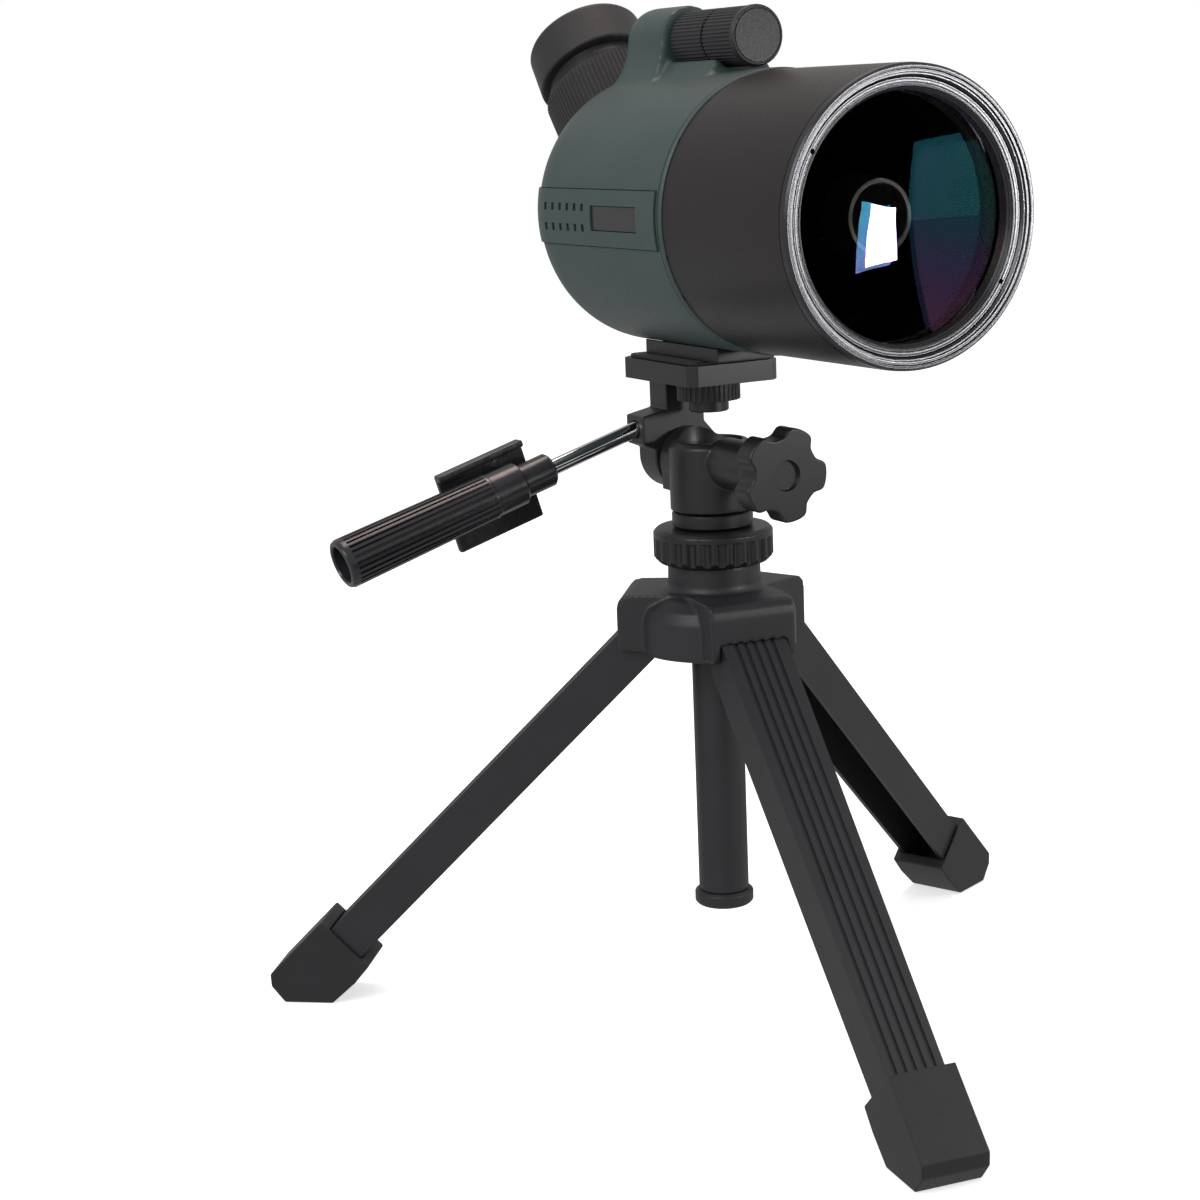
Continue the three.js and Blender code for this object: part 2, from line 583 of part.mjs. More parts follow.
const labelFront = -38.3;
const labelRear = -5.7;
const labelHalf = 4.4;
for (const [name, side] of [['left', -1], ['right', 1]]) {
  const ring = (outer, inner) => cut(bodyForm(outer), bodyForm(inner));
  const window = box([Math.min(0, side * 70), labelFront, -labelHalf], [Math.max(0, side * 70), labelRear, labelHalf]);
  const slots = [];
  for (let i = 0; i < 6; i++) {
    for (const z of [-3.6, 3.6]) {
      const y = 0.5 + 5.6 * i;
      slots.push(box([Math.min(0, side * 70), y - 0.95, z - 1.3], [Math.max(0, side * 70), y + 0.95, z + 1.3]));
    }
  }
  piece(scope, `side_panel_${name}`,
    cut(panelBlock(side, 0).intersect(ring(panelProud, -panelDepth)), window, ...slots), finishes.green);
  const plate = box([Math.min(0, side * 70), labelFront + gap, -labelHalf + gap],
    [Math.max(0, side * 70), labelRear - gap, labelHalf - gap]);
  piece(scope, `nameplate_${name}`, plate.intersect(ring(0.1, -panelDepth)), finishes.gloss);
}

// The foot: a block hollowed to the body's curve, with the thread for the tripod's screw.
const footHalf = 12;
const footBottom = plateTop + padThickness - axisHeight;
piece(scope, 'mount_foot', cut(
  box([-footHalf, -27, footBottom], [footHalf, 24.6, bodyBottom + 3]),
  bodyForm(gap),
  rodUp(screwRadius + gap, footBottom - 1, 0, 24)), finishes.plastic);

// ---- scope: barrel and front optics ----
const spigot = bodyRadius - bodyWall - gap;
const tubeFront = frontFace + 3.3;
piece(scope, 'barrel_tube', turned([
  [barrelRadius - barrelWall, tubeFront], [barrelRadius, tubeFront], [barrelRadius, seam - 0.5],
  [spigot, seam - 0.5], [spigot, seam + 9], [spigot - 2.2, seam + 9], [spigot - 2.2, seam - 2],
  [barrelRadius - barrelWall, seam - 4]], 60), finishes.barrelBlack);

const retainerRadius = clearAperture / 2 + 4;
const seat = retainerRadius + gap;
const lensRear = frontFace + 16.6;
const cellRadius = barrelRadius - barrelWall - gap;
piece(scope, 'front_bezel', turned([
  [barrelRadius - 0.9, frontFace], [barrelRadius - 0.2, frontFace + 0.7], [barrelRadius, tubeFront - gap], [cellRadius, tubeFront - gap],
  [cellRadius, lensRear + 3], [retainerRadius - 3, lensRear + 3], [retainerRadius - 3, lensRear + 1.2],
  [seat, lensRear + 1.2], [seat, frontFace + 2.2], [seat + 0.6, frontFace + 1.4], [seat + 1.5, frontFace + 1.4],
  [seat + 1.5, frontFace + 0.7], [seat + 2.6, frontFace + 0.7], [seat + 2.6, frontFace]], 60),
finishes.barrelBlack);

function retainingRing() {
  const front = frontFace + 2.4;
  const ring = turned([[retainerRadius, front], [retainerRadius, front + 5.6],
    [clearAperture / 2 + 0.2, front + 5.6], [clearAperture / 2 + 0.2, front + 1.8], [clearAperture / 2 + 1.4, front]], 60);
  const holeTurn = -58;
  const holes = [0, 180].map((a) => rod(0.9, front - 1, front + 3, 12)
    .translate([0, 0, clearAperture / 2 + 2.6]).rotate([0, holeTurn + a, 0]));
  return cut(ring, ...holes);
}
piece(scope, 'retaining_ring', retainingRing(), finishes.barrelBlack);

// The meniscus corrector: both faces bow the same way, hollow towards the front.
function bow(edge, sag, radius, steps) {
  return Array.from({ length: steps + 1 }, (_, i) => {
    const r = (radius * i) / steps;
    return [r, edge + sag * (1 - (r / radius) ** 2)];
  });
}
const lensEdge = frontFace + 8.3;
piece(scope, 'corrector_lens', turned([
  ...bow(lensEdge, 5.4, retainerRadius - gap, 5),
  ...bow(lensRear, 5.0, retainerRadius - gap, 5).reverse()], 60), finishes.glass);
const lensBack = lensRear + 5.0;
piece(scope, 'secondary_mirror', rod(10.6, lensBack + gap, lensBack + 1.3, 32), finishes.mirror);
piece(scope, 'secondary_baffle', turned([
  [11, lensBack + 0.2], [12.6, lensBack + 0.2], [14.2, lensBack + 15], [13, lensBack + 15]], 40),
finishes.barrelBlack);

// ---- scope: mirror, baffle and prism ----
const baffleRadius = 10.5;
const baffleRear = 20.2;
piece(scope, 'primary_baffle', turned([
  [baffleRadius - 1.2, -64], [baffleRadius, -64], [baffleRadius, 17.6], [14, 17.6],
  [14, baffleRear], [baffleRadius - 1.2, baffleRear]], 40), finishes.barrelBlack);
const mirrorRadius = bodyRadius - bodyWall - 4.2;
const cellOutside = mirrorRadius + 1.9;
const mirrorBore = baffleRadius + running;
function primaryMirror() {
  const front = Array.from({ length: 6 }, (_, i) => {
    const r = mirrorRadius - ((mirrorRadius - mirrorBore) * i) / 5;
    return [r, -6 + 2.6 * (1 - (r / mirrorRadius) ** 2)];
  });
  return turned([...front, [mirrorBore, 4], [mirrorRadius, 4]], 60);
}
piece(scope, 'primary_mirror', primaryMirror(), finishes.mirror);
piece(scope, 'mirror_cell', add(turned([
  [mirrorRadius + gap, -3], [cellOutside, -3], [cellOutside, 9.3], [mirrorBore, 9.3], [mirrorBore, 4 + gap],
  [mirrorRadius + gap, 4 + gap]], 60),
box([-3, 8, mirrorRadius - 13], [3, 24, mirrorRadius - 6]),
box([-3, 17, mirrorRadius - 8], [3, 24, knobHeight - 5 - gap])), finishes.darkMetal);
piece(scope, 'focus_nut', cut(
  box([-5, 17, knobHeight - 5], [5, 24, knobHeight + 5]),
  rod(2.5 + running, 10, 40, 24).translate([0, 0, knobHeight])), finishes.brass);

const prismHalf = 11;
function prismOutline(grow) {
  const a = [Math.cos(eyepieceAngle), Math.sin(eyepieceAngle)];
  const b = [-a[1], a[0]];
  const exit = (k) => [0, 1].map((i) => (14 + grow) * a[i] + k * (11 + grow) * b[i]);
  const corners = [[-12 - grow, -11 - grow], [7 + grow, -14 - grow], exit(-1), exit(1), [-12 - grow, 11 + grow]];
  return corners.map(([y, z]) => [y + prismCentre, z]);
}
piece(scope, 'prism', alongX(prismOutline(0), -prismHalf, prismHalf), finishes.glass);
function prismHolder() {
  const bracket = box([-14.5, baffleRear + gap, -18], [14.5, 50, 15]);
  const reach = bodyRadius - bodyWall - 2.2;
  const wings = box([-reach, baffleRear + gap, -8], [reach, 25, 8]);
  const lightIn = rod(9, 10, prismCentre, 32);
  const lightOut = rod(10.5, 0, 40, 32)
    .rotate([THREE.MathUtils.radToDeg(eyepieceAngle), 0, 0]).translate([0, prismCentre, 0]);
  const cavity = alongX(prismOutline(gap), -prismHalf - gap, prismHalf + gap);
  return cut(add(bracket, wings), cavity, lightIn, lightOut);
}
piece(scope, 'prism_holder', prismHolder(), finishes.darkMetal);

// ---- scope: eyepiece, drawn along Y in its own turned group ----
const ringTop = zoomRingStart + zoomRingLength;
const cupStart = zoomRingStart + 24.3;
piece(eyepiece, 'eyepiece_tube', turned([
  [tubeBore, 22], [tubeRadius, 22], [tubeRadius, ringTop + running],
  [tubeRadius + 2.6, ringTop + running], [tubeRadius + 2.6, ringTop + 3], [tubeRadius + 1.6, ringTop + 3.4],
  [tubeRadius + 1.6, cupStart - 0.8], [upperRadius, cupStart - 0.8],
  [upperRadius, cupStart + 11], [tubeBore, cupStart + 11]], 44), finishes.plastic);
piece(eyepiece, 'zoom_ring', cut(
  alongY(toothed(zoomRingRadius, 0.7, 36), zoomRingStart + running, ringTop),
  rod(tubeRadius + running, 0, 90, 44)), finishes.rubber);
piece(eyepiece, 'field_lens', turned([[0, 23], [tubeBore - gap, 24.5], [tubeBore - gap, 27], [0, 28.5]], 32),
  finishes.glass);
const cellStart = zoomRingStart;
const lensRadius = tubeBore - running - 3.5;
piece(eyepiece, 'zoom_lens_cell', sleeve(tubeBore - running, lensRadius + gap, cellStart, cellStart + 8, 36), finishes.darkMetal);
piece(eyepiece, 'zoom_lens', turned([[0, cellStart + 1], [lensRadius, cellStart + 2.6], [lensRadius, cellStart + 5.4],
  [0, cellStart + 7]], 32), finishes.glass);
piece(eyepiece, 'eye_lens', turned([[0, cupStart + 3], [tubeBore - gap, cupStart + 5],
  [tubeBore - gap, cupStart + 8], [0, cupStart + 9.5]], 32), finishes.glass);
piece(eyepiece, 'eyecup', turned([
  [upperRadius + running, cupStart], [cupRadius - 0.6, cupStart], [cupRadius, cupStart + 0.6],
  [cupRadius - 0.7, cupStart + cupLength - 1.6], [cupRadius - 1.8, cupStart + cupLength],
  [cupRadius - 3.4, cupStart + cupLength], [tubeBore + 0.6, cupStart + 13.2],
  [tubeBore + 0.6, cupStart + 11 + running],
  [upperRadius + running, cupStart + 11 + running]], 48), finishes.rubber);

// ---- scope: focus drive ----
const onKnobAxis = (shape) => shape.translate([0, 0, knobHeight]);
piece(scope, 'focus_bush', onKnobAxis(sleeve(5, 2.5 + running, lipFace + gap, 11, 28)), finishes.brass);
piece(scope, 'focus_shaft', onKnobAxis(rod(2.5, knobFront + 4, 29.6, 24)), finishes.steel);
const ringOn = (outline, y0, y1, bore) =>
  onKnobAxis(cut(alongY(outline, y0, y1), rod(bore, -90, 90, 24)));
piece(scope, 'coarse_focus_ring',
  ringOn(toothed(knobRadius - 0.2, 0.5, 24), knobSplit + 0.7, lipFace - 2, 2.5 + gap), finishes.plastic);
piece(scope, 'fine_focus_ring',
  ringOn(toothed(knobRadius - 0.2, 0.5, 24), knobFront + 2.4, knobSplit - 0.7, 2.5 + running), finishes.plastic);
piece(scope, 'fine_focus_cap', onKnobAxis(turned([[0, knobFront], [knobRadius - 0.9, knobFront],
  [knobRadius, knobFront + 0.9], [knobRadius, knobFront + 2], [0, knobFront + 2]], 40)), finishes.plastic);

// ---- origin at the middle of the base ----
object.updateMatrixWorld(true);
const bounds = new THREE.Box3().setFromObject(object, true);
const middle = bounds.getCenter(new THREE.Vector3());
object.position.set(-middle.x, -middle.y, -bounds.min.z);
object.updateMatrixWorld(true);

export default object;
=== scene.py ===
import json
import math

import bpy
from mathutils import Matrix, Vector

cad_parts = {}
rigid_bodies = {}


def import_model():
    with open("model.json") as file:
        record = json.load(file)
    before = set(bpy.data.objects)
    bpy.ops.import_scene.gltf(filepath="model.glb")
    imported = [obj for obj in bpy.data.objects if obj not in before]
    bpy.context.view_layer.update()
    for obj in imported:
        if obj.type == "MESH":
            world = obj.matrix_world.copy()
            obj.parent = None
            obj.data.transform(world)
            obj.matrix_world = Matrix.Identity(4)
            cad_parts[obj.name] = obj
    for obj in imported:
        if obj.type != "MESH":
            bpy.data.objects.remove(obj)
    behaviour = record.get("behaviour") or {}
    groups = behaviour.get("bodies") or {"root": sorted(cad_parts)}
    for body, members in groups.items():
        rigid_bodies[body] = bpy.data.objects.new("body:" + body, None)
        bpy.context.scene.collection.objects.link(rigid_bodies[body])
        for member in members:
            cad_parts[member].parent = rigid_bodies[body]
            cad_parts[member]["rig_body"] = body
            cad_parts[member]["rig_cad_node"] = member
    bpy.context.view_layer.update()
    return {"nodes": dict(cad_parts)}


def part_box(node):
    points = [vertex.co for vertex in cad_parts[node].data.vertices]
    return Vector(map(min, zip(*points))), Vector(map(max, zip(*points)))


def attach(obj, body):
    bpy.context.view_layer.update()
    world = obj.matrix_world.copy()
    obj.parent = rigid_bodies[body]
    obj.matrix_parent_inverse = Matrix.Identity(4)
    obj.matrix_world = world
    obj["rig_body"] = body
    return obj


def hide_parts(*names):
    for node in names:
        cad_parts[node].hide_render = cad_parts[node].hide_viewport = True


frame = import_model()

# Pieces are drawn in millimetres from the column's axis on the floor, and then laid into the row frame.
MM = 0.001
low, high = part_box("column_tube")
COLUMN = Vector(((low.x + high.x) / 2, (low.y + high.y) / 2, 0))
ROW = Matrix.Translation(COLUMN) @ Matrix.Scale(MM, 4)

GAP, RUNNING = 0.3, 0.4  # between neighbours at rest, and between pieces that slide or turn
AXIS = 304.3            # optical axis above the floor
BARREL_R, BARREL_WALL = 48.2, 2.3
FRONT = -129.5          # the bezel's front
SEAM = -54.0            # where the barrel meets the body
BODY_R, BODY_WALL = 48.8, 2.6
DOME_START, DOME_LENGTH = 29.0, 33.0
EYE_ANGLE = math.radians(50)
PRISM_Y = 34.0
ZOOM_START, ZOOM_LENGTH, ZOOM_R = 39.8, 17.2, 23.5
CUP_START, CUP_LENGTH, CUP_R = 64.1, 17.4, 23.2
KNOB_R, KNOB_FRONT, KNOB_SPLIT, LIP_Y = 10.4, -40.4, -19.0, 4.0
HUMP_R, HUMP_END = 12.2, 26.0
FLARE = 23.0            # half the width of the hump's foot
KNOB_UP = BODY_R + KNOB_R + 0.6     # focus shaft above the optical axis
PANEL_FRONT, PANEL_REAR = SEAM + 3.4, 47.0
PANEL_HALF, PANEL_PROUD, PANEL_DEPTH = 9.8, 0.7, 0.9
LABEL_FRONT, LABEL_REAR, LABEL_HALF = -38.3, -5.7, 4.4
RETAINER_R, APERTURE_R = 43.5, 39.7
MIRROR_R, MIRROR_BORE = 42.0, 10.9
TUBE_R, TUBE_BORE, UPPER_R = 19.0, 14.0, 18.0
HEAD_R, HEAD_LOW, HEAD_TOP = 15.5, 194.8, 220.5
STAR_R, STAR_FACE, STAR_THICK = 17.0, -52.0, 9.5
WHEEL_R, WHEEL_TOP, WHEEL_HEIGHT = 11.7, 241.6, 6.2
ROD_R, COLLAR, COLLAR_R, WING_BACK, WING_LENGTH = 3.0, 37.8, 6.3, 9.6, 36.0
WING_TOP, WING_FOOT = -12.4, 18.5   # across the handle, downwards from its axis
GRIP_LENGTH, GRIP_GROOVES = 75.0, 27
COLUMN_R, COLUMN_WALL, COLUMN_LOW, COLUMN_TOP = 9.5, 1.6, 41.0, 189.0
LOCK_R, LOCK_LOW, LOCK_TOP = 22.3, 175.3, 188.0
NECK_R, NECK_TOP = 13.5, 183.0      # of the crown, inside the lock ring
HINGE_R, HINGE_Z, CROWN_LOW, CROWN_TOP, REACH = 25.0, 151.0, 142.0, 165.0, 35.0
PIVOT = 213.0
HANDLE_SLOPE = math.radians(16.6)
LEG_TURNS = {"front": -97.5, "right": 22.5, "left": 142.5}


def turn(degrees, axis):
    return Matrix.Rotation(math.radians(degrees), 4, axis)


ALONG_Y = turn(-90, "X")
ON_AXIS = Matrix.Translation((0, 0, AXIS)) @ ALONG_Y
ON_EYEPIECE = Matrix.Translation((0, PRISM_Y, AXIS)) @ Matrix.Rotation(EYE_ANGLE, 4, "X") @ ALONG_Y
ON_KNOB = Matrix.Translation((0, 0, AXIS + KNOB_UP)) @ ALONG_Y
ON_PIVOT = Matrix.Translation((0, 0, PIVOT)) @ ALONG_Y
ON_HANDLE = (Matrix.Translation((-18.4, 23.7, 223.4)) @ Matrix.Rotation(-HANDLE_SLOPE, 4, "Y")
             @ turn(90, "Z") @ turn(90, "Y"))


# ---- materials ----
def linear(colour):
    """#rrggbb in sRGB to the linear colour that a shader takes."""
    parts = [int(colour[i:i + 2], 16) / 255 for i in (1, 3, 5)]
    return [c / 12.92 if c <= 0.04045 else ((c + 0.055) / 1.055) ** 2.4 for c in parts] + [1.0]


def add_node(tree, kind, settings=(), values=(), links=()):
    """Adds a node. Settings are its properties, values its sockets, and links are
    (socket, other node, its output)."""
    node = tree.nodes.new(kind)
    for key, value in dict(settings).items():
        setattr(node, key, value)
    for key, value in dict(values).items():
        node.inputs[key].default_value = value
    for key, source, output in links:
        tree.links.new(source.outputs[output], node.inputs[key])
    return node


def finish(name, dark, light, patch, grain, depth, rough, stretch=(1, 1, 1), rings=0, **shader):
    """A surface whose colour drifts between dark and light over patch mm, with a grain of grain mm that
    stands depth mm proud and carries the roughness from rough[0] to rough[1]. Rings is the pitch in mm of
    turning marks round the optical axis."""
    made = bpy.data.materials.new(name)
    made.use_nodes = True
    tree = made.node_tree
    surface = tree.nodes["Principled BSDF"]
    spot = add_node(tree, "ShaderNodeTexCoord")
    drawn = add_node(tree, "ShaderNodeMapping", values={"Scale": stretch},
                     links=[("Vector", spot, "Object")])
    patches = add_node(tree, "ShaderNodeTexNoise", values={"Scale": 1000 / patch, "Detail": 3},
                       links=[("Vector", drawn, "Vector")])
    grains = add_node(tree, "ShaderNodeTexNoise",
                      values={"Scale": 1000 / grain, "Detail": 4, "Roughness": 0.6},
                      links=[("Vector", drawn, "Vector")])
    tint = add_node(tree, "ShaderNodeMix", {"data_type": "RGBA"},
                    {"A": linear(dark), "B": linear(light)}, [("Factor", patches, "Fac")])
    shine = add_node(tree, "ShaderNodeMapRange",
                     values={"From Min": 0.3, "From Max": 0.7, "To Min": rough[0], "To Max": rough[1]},
                     links=[("Value", grains, "Fac")])
    tree.links.new(tint.outputs["Result"], surface.inputs["Base Color"])
    tree.links.new(shine.outputs["Result"], surface.inputs["Roughness"])
    height = grains
    if rings:
        away = [-v for v in ROW @ Vector((0, 0, AXIS))]
        centred = add_node(tree, "ShaderNodeMapping", values={"Location": away},
                           links=[("Vector", spot, "Object")])
        height = add_node(tree, "ShaderNodeTexWave", {"wave_type": "RINGS", "rings_direction": "Y"},
                          {"Scale": 1000 * math.pi / (10 * rings), "Distortion": 0.3},
                          [("Vector", centred, "Vector")])
    if depth:
        relief = add_node(tree, "ShaderNodeBump", values={"Strength": 0.6, "Distance": depth * MM},
                          links=[("Height", height, "Fac")])
        tree.links.new(relief.outputs["Normal"], surface.inputs["Normal"])
    for key, value in shader.items():
        surface.inputs[key.replace("_", " ")].default_value = value
    made.diffuse_color = linear(light)
    return made


# Polycarbonate body with a sprayed soft-touch green coat: even, satin, a fine orange peel.
GREEN = finish("soft_touch_paint_green", "#304040", "#3a4b49", 26, 0.7, 0.02, (0.4, 0.54))
# Aluminium tube, bead-blasted and anodised black: the blast grit is 0.2 mm and is drawn at 0.8 mm so
# that it shows, and worn dye gives its highlights a faint warm cast.
ANODISED = finish("anodised_aluminium_black", "#1a1617", "#211b1d", 40, 0.8, 0.012, (0.36, 0.46),
                  Metallic=0.3)
# The same tube turned and polished at the front: turning marks of 0.25 mm, drawn at 0.9 mm so that
# they show.
TURNED_FACE = finish("anodised_aluminium_turned", "#3d3d3f", "#4b4b4d", 8, 0.5, 0.03, (0.24, 0.34),
                     rings=0.9, Metallic=0.8)
# Black-anodised turned fittings away from the front.
TURNED_BLACK = finish("anodised_aluminium_satin", "#1d1d1f", "#262628", 8, 0.5, 0.008, (0.28, 0.38),
                      Metallic=0.4)
# Flat black baffle paint inside the tube: no shine to speak of.
FLAT_BLACK = finish("matt_baffle_paint", "#040404", "#070707", 12, 0.6, 0.03, (0.85, 0.95),
                    Specular_IOR_Level=0.1)
# Glass-filled nylon mouldings: spark-eroded mould texture, about 0.5 mm, charcoal and satin.
NYLON = finish("glass_filled_nylon_charcoal", "#1f1f22", "#28282c", 22, 0.6, 0.03, (0.42, 0.56))
# The same moulding compound with a finer texture, a little blacker, on the head.
NYLON_FINE = finish("glass_filled_nylon_black", "#151517", "#1c1c1f", 18, 0.5, 0.018, (0.34, 0.48))
# ABS moulded in a polished tool: smooth black with long highlights.
GLOSS = finish("abs_polished_black", "#222225", "#2c2c30", 20, 3.0, 0.006, (0.2, 0.3))
# Moulded nitrile rubber: dull, with a dusty bloom at low angles.
RUBBER = finish("nitrile_rubber_black", "#17171a", "#202024", 9, 0.7, 0.025, (0.55, 0.7),
                Sheen_Weight=0.08)
# Hard chrome on a ground steel rod.
CHROME = finish("hard_chrome_ground", "#c9cbce", "#dfe1e4", 30, 0.5, 0.002, (0.05, 0.1),
                (1, 1, 8), Metallic=1.0)
# Zinc-plated steel pins and screws, turned.
STEEL = finish("zinc_plated_steel_turned", "#8f9194", "#b0b2b5", 6, 0.4, 0.006, (0.25, 0.4),
               (1, 1, 6), Metallic=1.0)
# Turned brass, dull from handling.
BRASS = finish("free_cutting_brass_turned", "#8c6f35", "#b0904c", 7, 0.4, 0.006, (0.28, 0.42),
               (1, 1, 6), Metallic=1.0)
# Crown glass with a magnesium fluoride film, which leaves a violet cast.
GLASS = finish("coated_crown_glass", "#f6f8f8", "#ffffff", 30, 5.0, 0, (0.0, 0.01), IOR=1.52,
               Transmission_Weight=1.0, Thin_Film_Thickness=105.0, Thin_Film_IOR=1.38)
# The corrector's film is a little thicker at the top: teal there, and violet lower down.
GLASS_FRONT = finish("coated_corrector_glass", "#f6f8f8", "#ffffff", 30, 5.0, 0, (0.0, 0.01), IOR=1.52,
                     Transmission_Weight=1.0, Thin_Film_IOR=1.38)
glass_tree = GLASS_FRONT.node_tree
glass_spot = add_node(glass_tree, "ShaderNodeTexCoord")
glass_parts = add_node(glass_tree, "ShaderNodeSeparateXYZ", links=[("Vector", glass_spot, "Object")])
film = add_node(glass_tree, "ShaderNodeMapRange",
                values={"From Min": (AXIS - 30) * MM, "From Max": (AXIS + 2) * MM,
                        "To Min": 500, "To Max": 562},
                links=[("Value", glass_parts, "Z")])
glass_tree.links.new(film.outputs["Result"],
                     glass_tree.nodes["Principled BSDF"].inputs["Thin Film Thickness"])
# Aluminium on polished glass, coloured nearly black instead of bright metal: painted shade for the dark
# of the tube.
PAINTED_SHADE_MIRROR = finish("first_surface_mirror_painted_shade", "#17181b", "#1b1c20", 30, 4.0, 0, (0.02, 0.04), Metallic=1.0)


# ---- modelling ----
def deselect():
    bpy.ops.object.select_all(action="DESELECT")


def choose(piece):
    deselect()
    piece.select_set(True)
    bpy.context.view_layer.objects.active = piece
    return piece


def edit_all():
    bpy.ops.object.mode_set(mode="EDIT")
    bpy.ops.mesh.select_all(action="SELECT")


def done():
    bpy.ops.object.mode_set(mode="OBJECT")
    return bpy.context.object


def seal():
    """Closes what meets, and points the faces outwards."""
    bpy.ops.mesh.select_all(action="SELECT")
    bpy.ops.mesh.remove_doubles(threshold=0.0005)
    bpy.ops.mesh.normals_make_consistent(inside=False)
    return done()


def turned(profile, segments=128):
    """Turns a profile of (radius, height) about Z: a ring is extruded from point to point. It runs from
    pole to pole, or closes on its own start."""
    to_poles = profile[0][0] == 0
    points = profile[1:] if to_poles else profile + profile[:1]
    radius, height = points[0]
    deselect()
    bpy.ops.mesh.primitive_circle_add(vertices=segments, radius=radius, location=(0, 0, height))
    bpy.ops.object.transform_apply(location=True)
    edit_all()
    for r, z in points[1:]:
        step_ring(radius, height, r, z)
        radius, height = r, z
    if to_poles:
        bpy.ops.mesh.select_all(action="DESELECT")
        done()
        mesh = bpy.context.object.data
        for v in mesh.vertices[:segments]:
            v.select = True
        bpy.ops.object.mode_set(mode="EDIT")
        step_ring(*points[0], *profile[0])
    return seal()


def step_ring(radius, height, new_radius, new_height):
    bpy.ops.mesh.extrude_edges_move(TRANSFORM_OT_translate={"value": (0, 0, new_height - height)})
    share = new_radius / radius
    bpy.ops.transform.resize(value=(share, share, 1))


def prism(outline, bottom, top):
    """An outline of (x, y) points pulled up from bottom to top."""
    deselect()
    bpy.ops.mesh.primitive_circle_add(vertices=len(outline), fill_type="NGON")
    for vertex, (x, y) in zip(bpy.context.object.data.vertices, outline):
        vertex.co = (x, y, bottom)
    edit_all()
    bpy.ops.mesh.extrude_region_move(TRANSFORM_OT_translate={"value": (0, 0, top - bottom)})
    return seal()


def block(start, end):
    deselect()
    centre = [(a + b) / 2 for a, b in zip(start, end)]
    bpy.ops.mesh.primitive_cube_add(size=1, location=centre)
    bpy.context.object.scale = [b - a for a, b in zip(start, end)]
    bpy.ops.object.transform_apply(location=True, scale=True)
    return bpy.context.object


def rod(radius, bottom, top, segments=96):
    return turned([(0, bottom), (radius, bottom), (radius, top), (0, top)], segments)


def place(piece, matrix):
    choose(piece)
    piece.matrix_world = matrix @ piece.matrix_world
    bpy.ops.object.transform_apply(location=True, rotation=True, scale=True)
    return piece


def combine(piece, operation, *tools):
    for tool in tools:
        change = piece.modifiers.new("combine", "BOOLEAN")
        change.operation = operation
        change.solver = "MANIFOLD"
        change.object = tool
        choose(piece)
        bpy.ops.object.modifier_apply(modifier=change.name)
        bpy.data.objects.remove(tool)
    return piece


def join(piece, *more):
    return combine(piece, "UNION", *more)


def cut(piece, *tools):
    return combine(piece, "DIFFERENCE", *tools)


def within(piece, *tools):
    return combine(piece, "INTERSECT", *tools)


def bevel(piece, width, segments=2, angle=35):
    change = piece.modifiers.new("bevel", "BEVEL")
    change.width = width
    change.segments = segments
    change.limit_method = "ANGLE"
    change.angle_limit = math.radians(angle)
    choose(piece)
    bpy.ops.object.modifier_apply(modifier=change.name)
    return piece


def soften(piece, voxel, rounds):
    """Flows the edges of a joined shape into fillets, as in a mould."""
    cells = piece.modifiers.new("cells", "REMESH")
    cells.mode = "VOXEL"
    cells.voxel_size = voxel
    smooth = piece.modifiers.new("smooth", "SMOOTH")
    smooth.factor = 0.5
    smooth.iterations = rounds
    choose(piece)
    bpy.ops.object.modifier_apply(modifier=cells.name)
    bpy.ops.object.modifier_apply(modifier=smooth.name)
    return piece


def line(piece, outside, inside, is_inside):
    """Gives a hollow piece one finish outside and another on the faces inside."""
    piece.data.materials.clear()
    piece.data.materials.append(outside)
    piece.data.materials.append(inside)
    for face in piece.data.polygons:
        if is_inside(face):
            face.material_index = 1


def deliver(piece, name, body, material, stands_for, smooth=32):
    """Lays a drawn piece into the row frame, gives it its finish and hangs it on its body."""
    place(piece, ROW)
    return dress(piece, name, body, material, stands_for, smooth)


def dress(piece, name, body, material, stands_for, smooth=32):
    piece.name = piece.data.name = name
    if not any(piece.data.materials):
        piece.data.materials.clear()
        piece.data.materials.append(material)
    choose(piece)
    bpy.ops.object.shade_smooth_by_angle(angle=math.radians(smooth))
    flat = piece.modifiers.new("flat", "WEIGHTED_NORMAL")
    flat.keep_sharp = True
    bpy.ops.object.modifier_apply(modifier=flat.name)
    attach(piece, body)
    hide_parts(*stands_for)
    return piece


def refined(node, name, body, material, width, segments=2, angle=35):
    """A copy of a CAD node with its edges broken."""
    deselect()
    piece = frame["nodes"][node].copy()
    piece.data = piece.data.copy()
    piece.parent = None
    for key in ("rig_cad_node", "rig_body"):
        del piece[key]
    bpy.context.scene.collection.objects.link(piece)
    piece.data.materials.clear()
    choose(piece)
    edit_all()
    bpy.ops.mesh.remove_doubles(threshold=1e-6)
    bpy.ops.mesh.dissolve_limited(angle_limit=math.radians(1))
    done()
    bevel(piece, width * MM, segments, angle)
    return dress(piece, name, body, material, [node])


def wavy(radius, depth, lobes, points, phase=0.0, square=0.0, lean=0.0):
    """A round outline that rises and falls lobes times; square flattens its tops and valleys, and lean
    widens the tops."""
    outline = []
    for i in range(points):
        a = 2 * math.pi * i / points
        swing = math.cos(lobes * (a - phase))
        if square:
            swing = math.tanh(square * (swing + lean)) / math.tanh(square)
        r = radius - depth / 2 + depth / 2 * swing
        outline.append((r * math.cos(a), r * math.sin(a)))
    return outline


def toothed(radius, depth, teeth, tip=0.36):
    """Ribs with sloping flanks: four points to a tooth."""
    outline = []
    slope = 0.14
    for i in range(teeth):
        for share, r in ((0.0, radius), (tip, radius), (tip + slope, radius - depth),
                         (1 - slope, radius - depth)):
            a = 2 * math.pi * (i + share) / teeth
            outline.append((r * math.cos(a), r * math.sin(a)))
    return outline


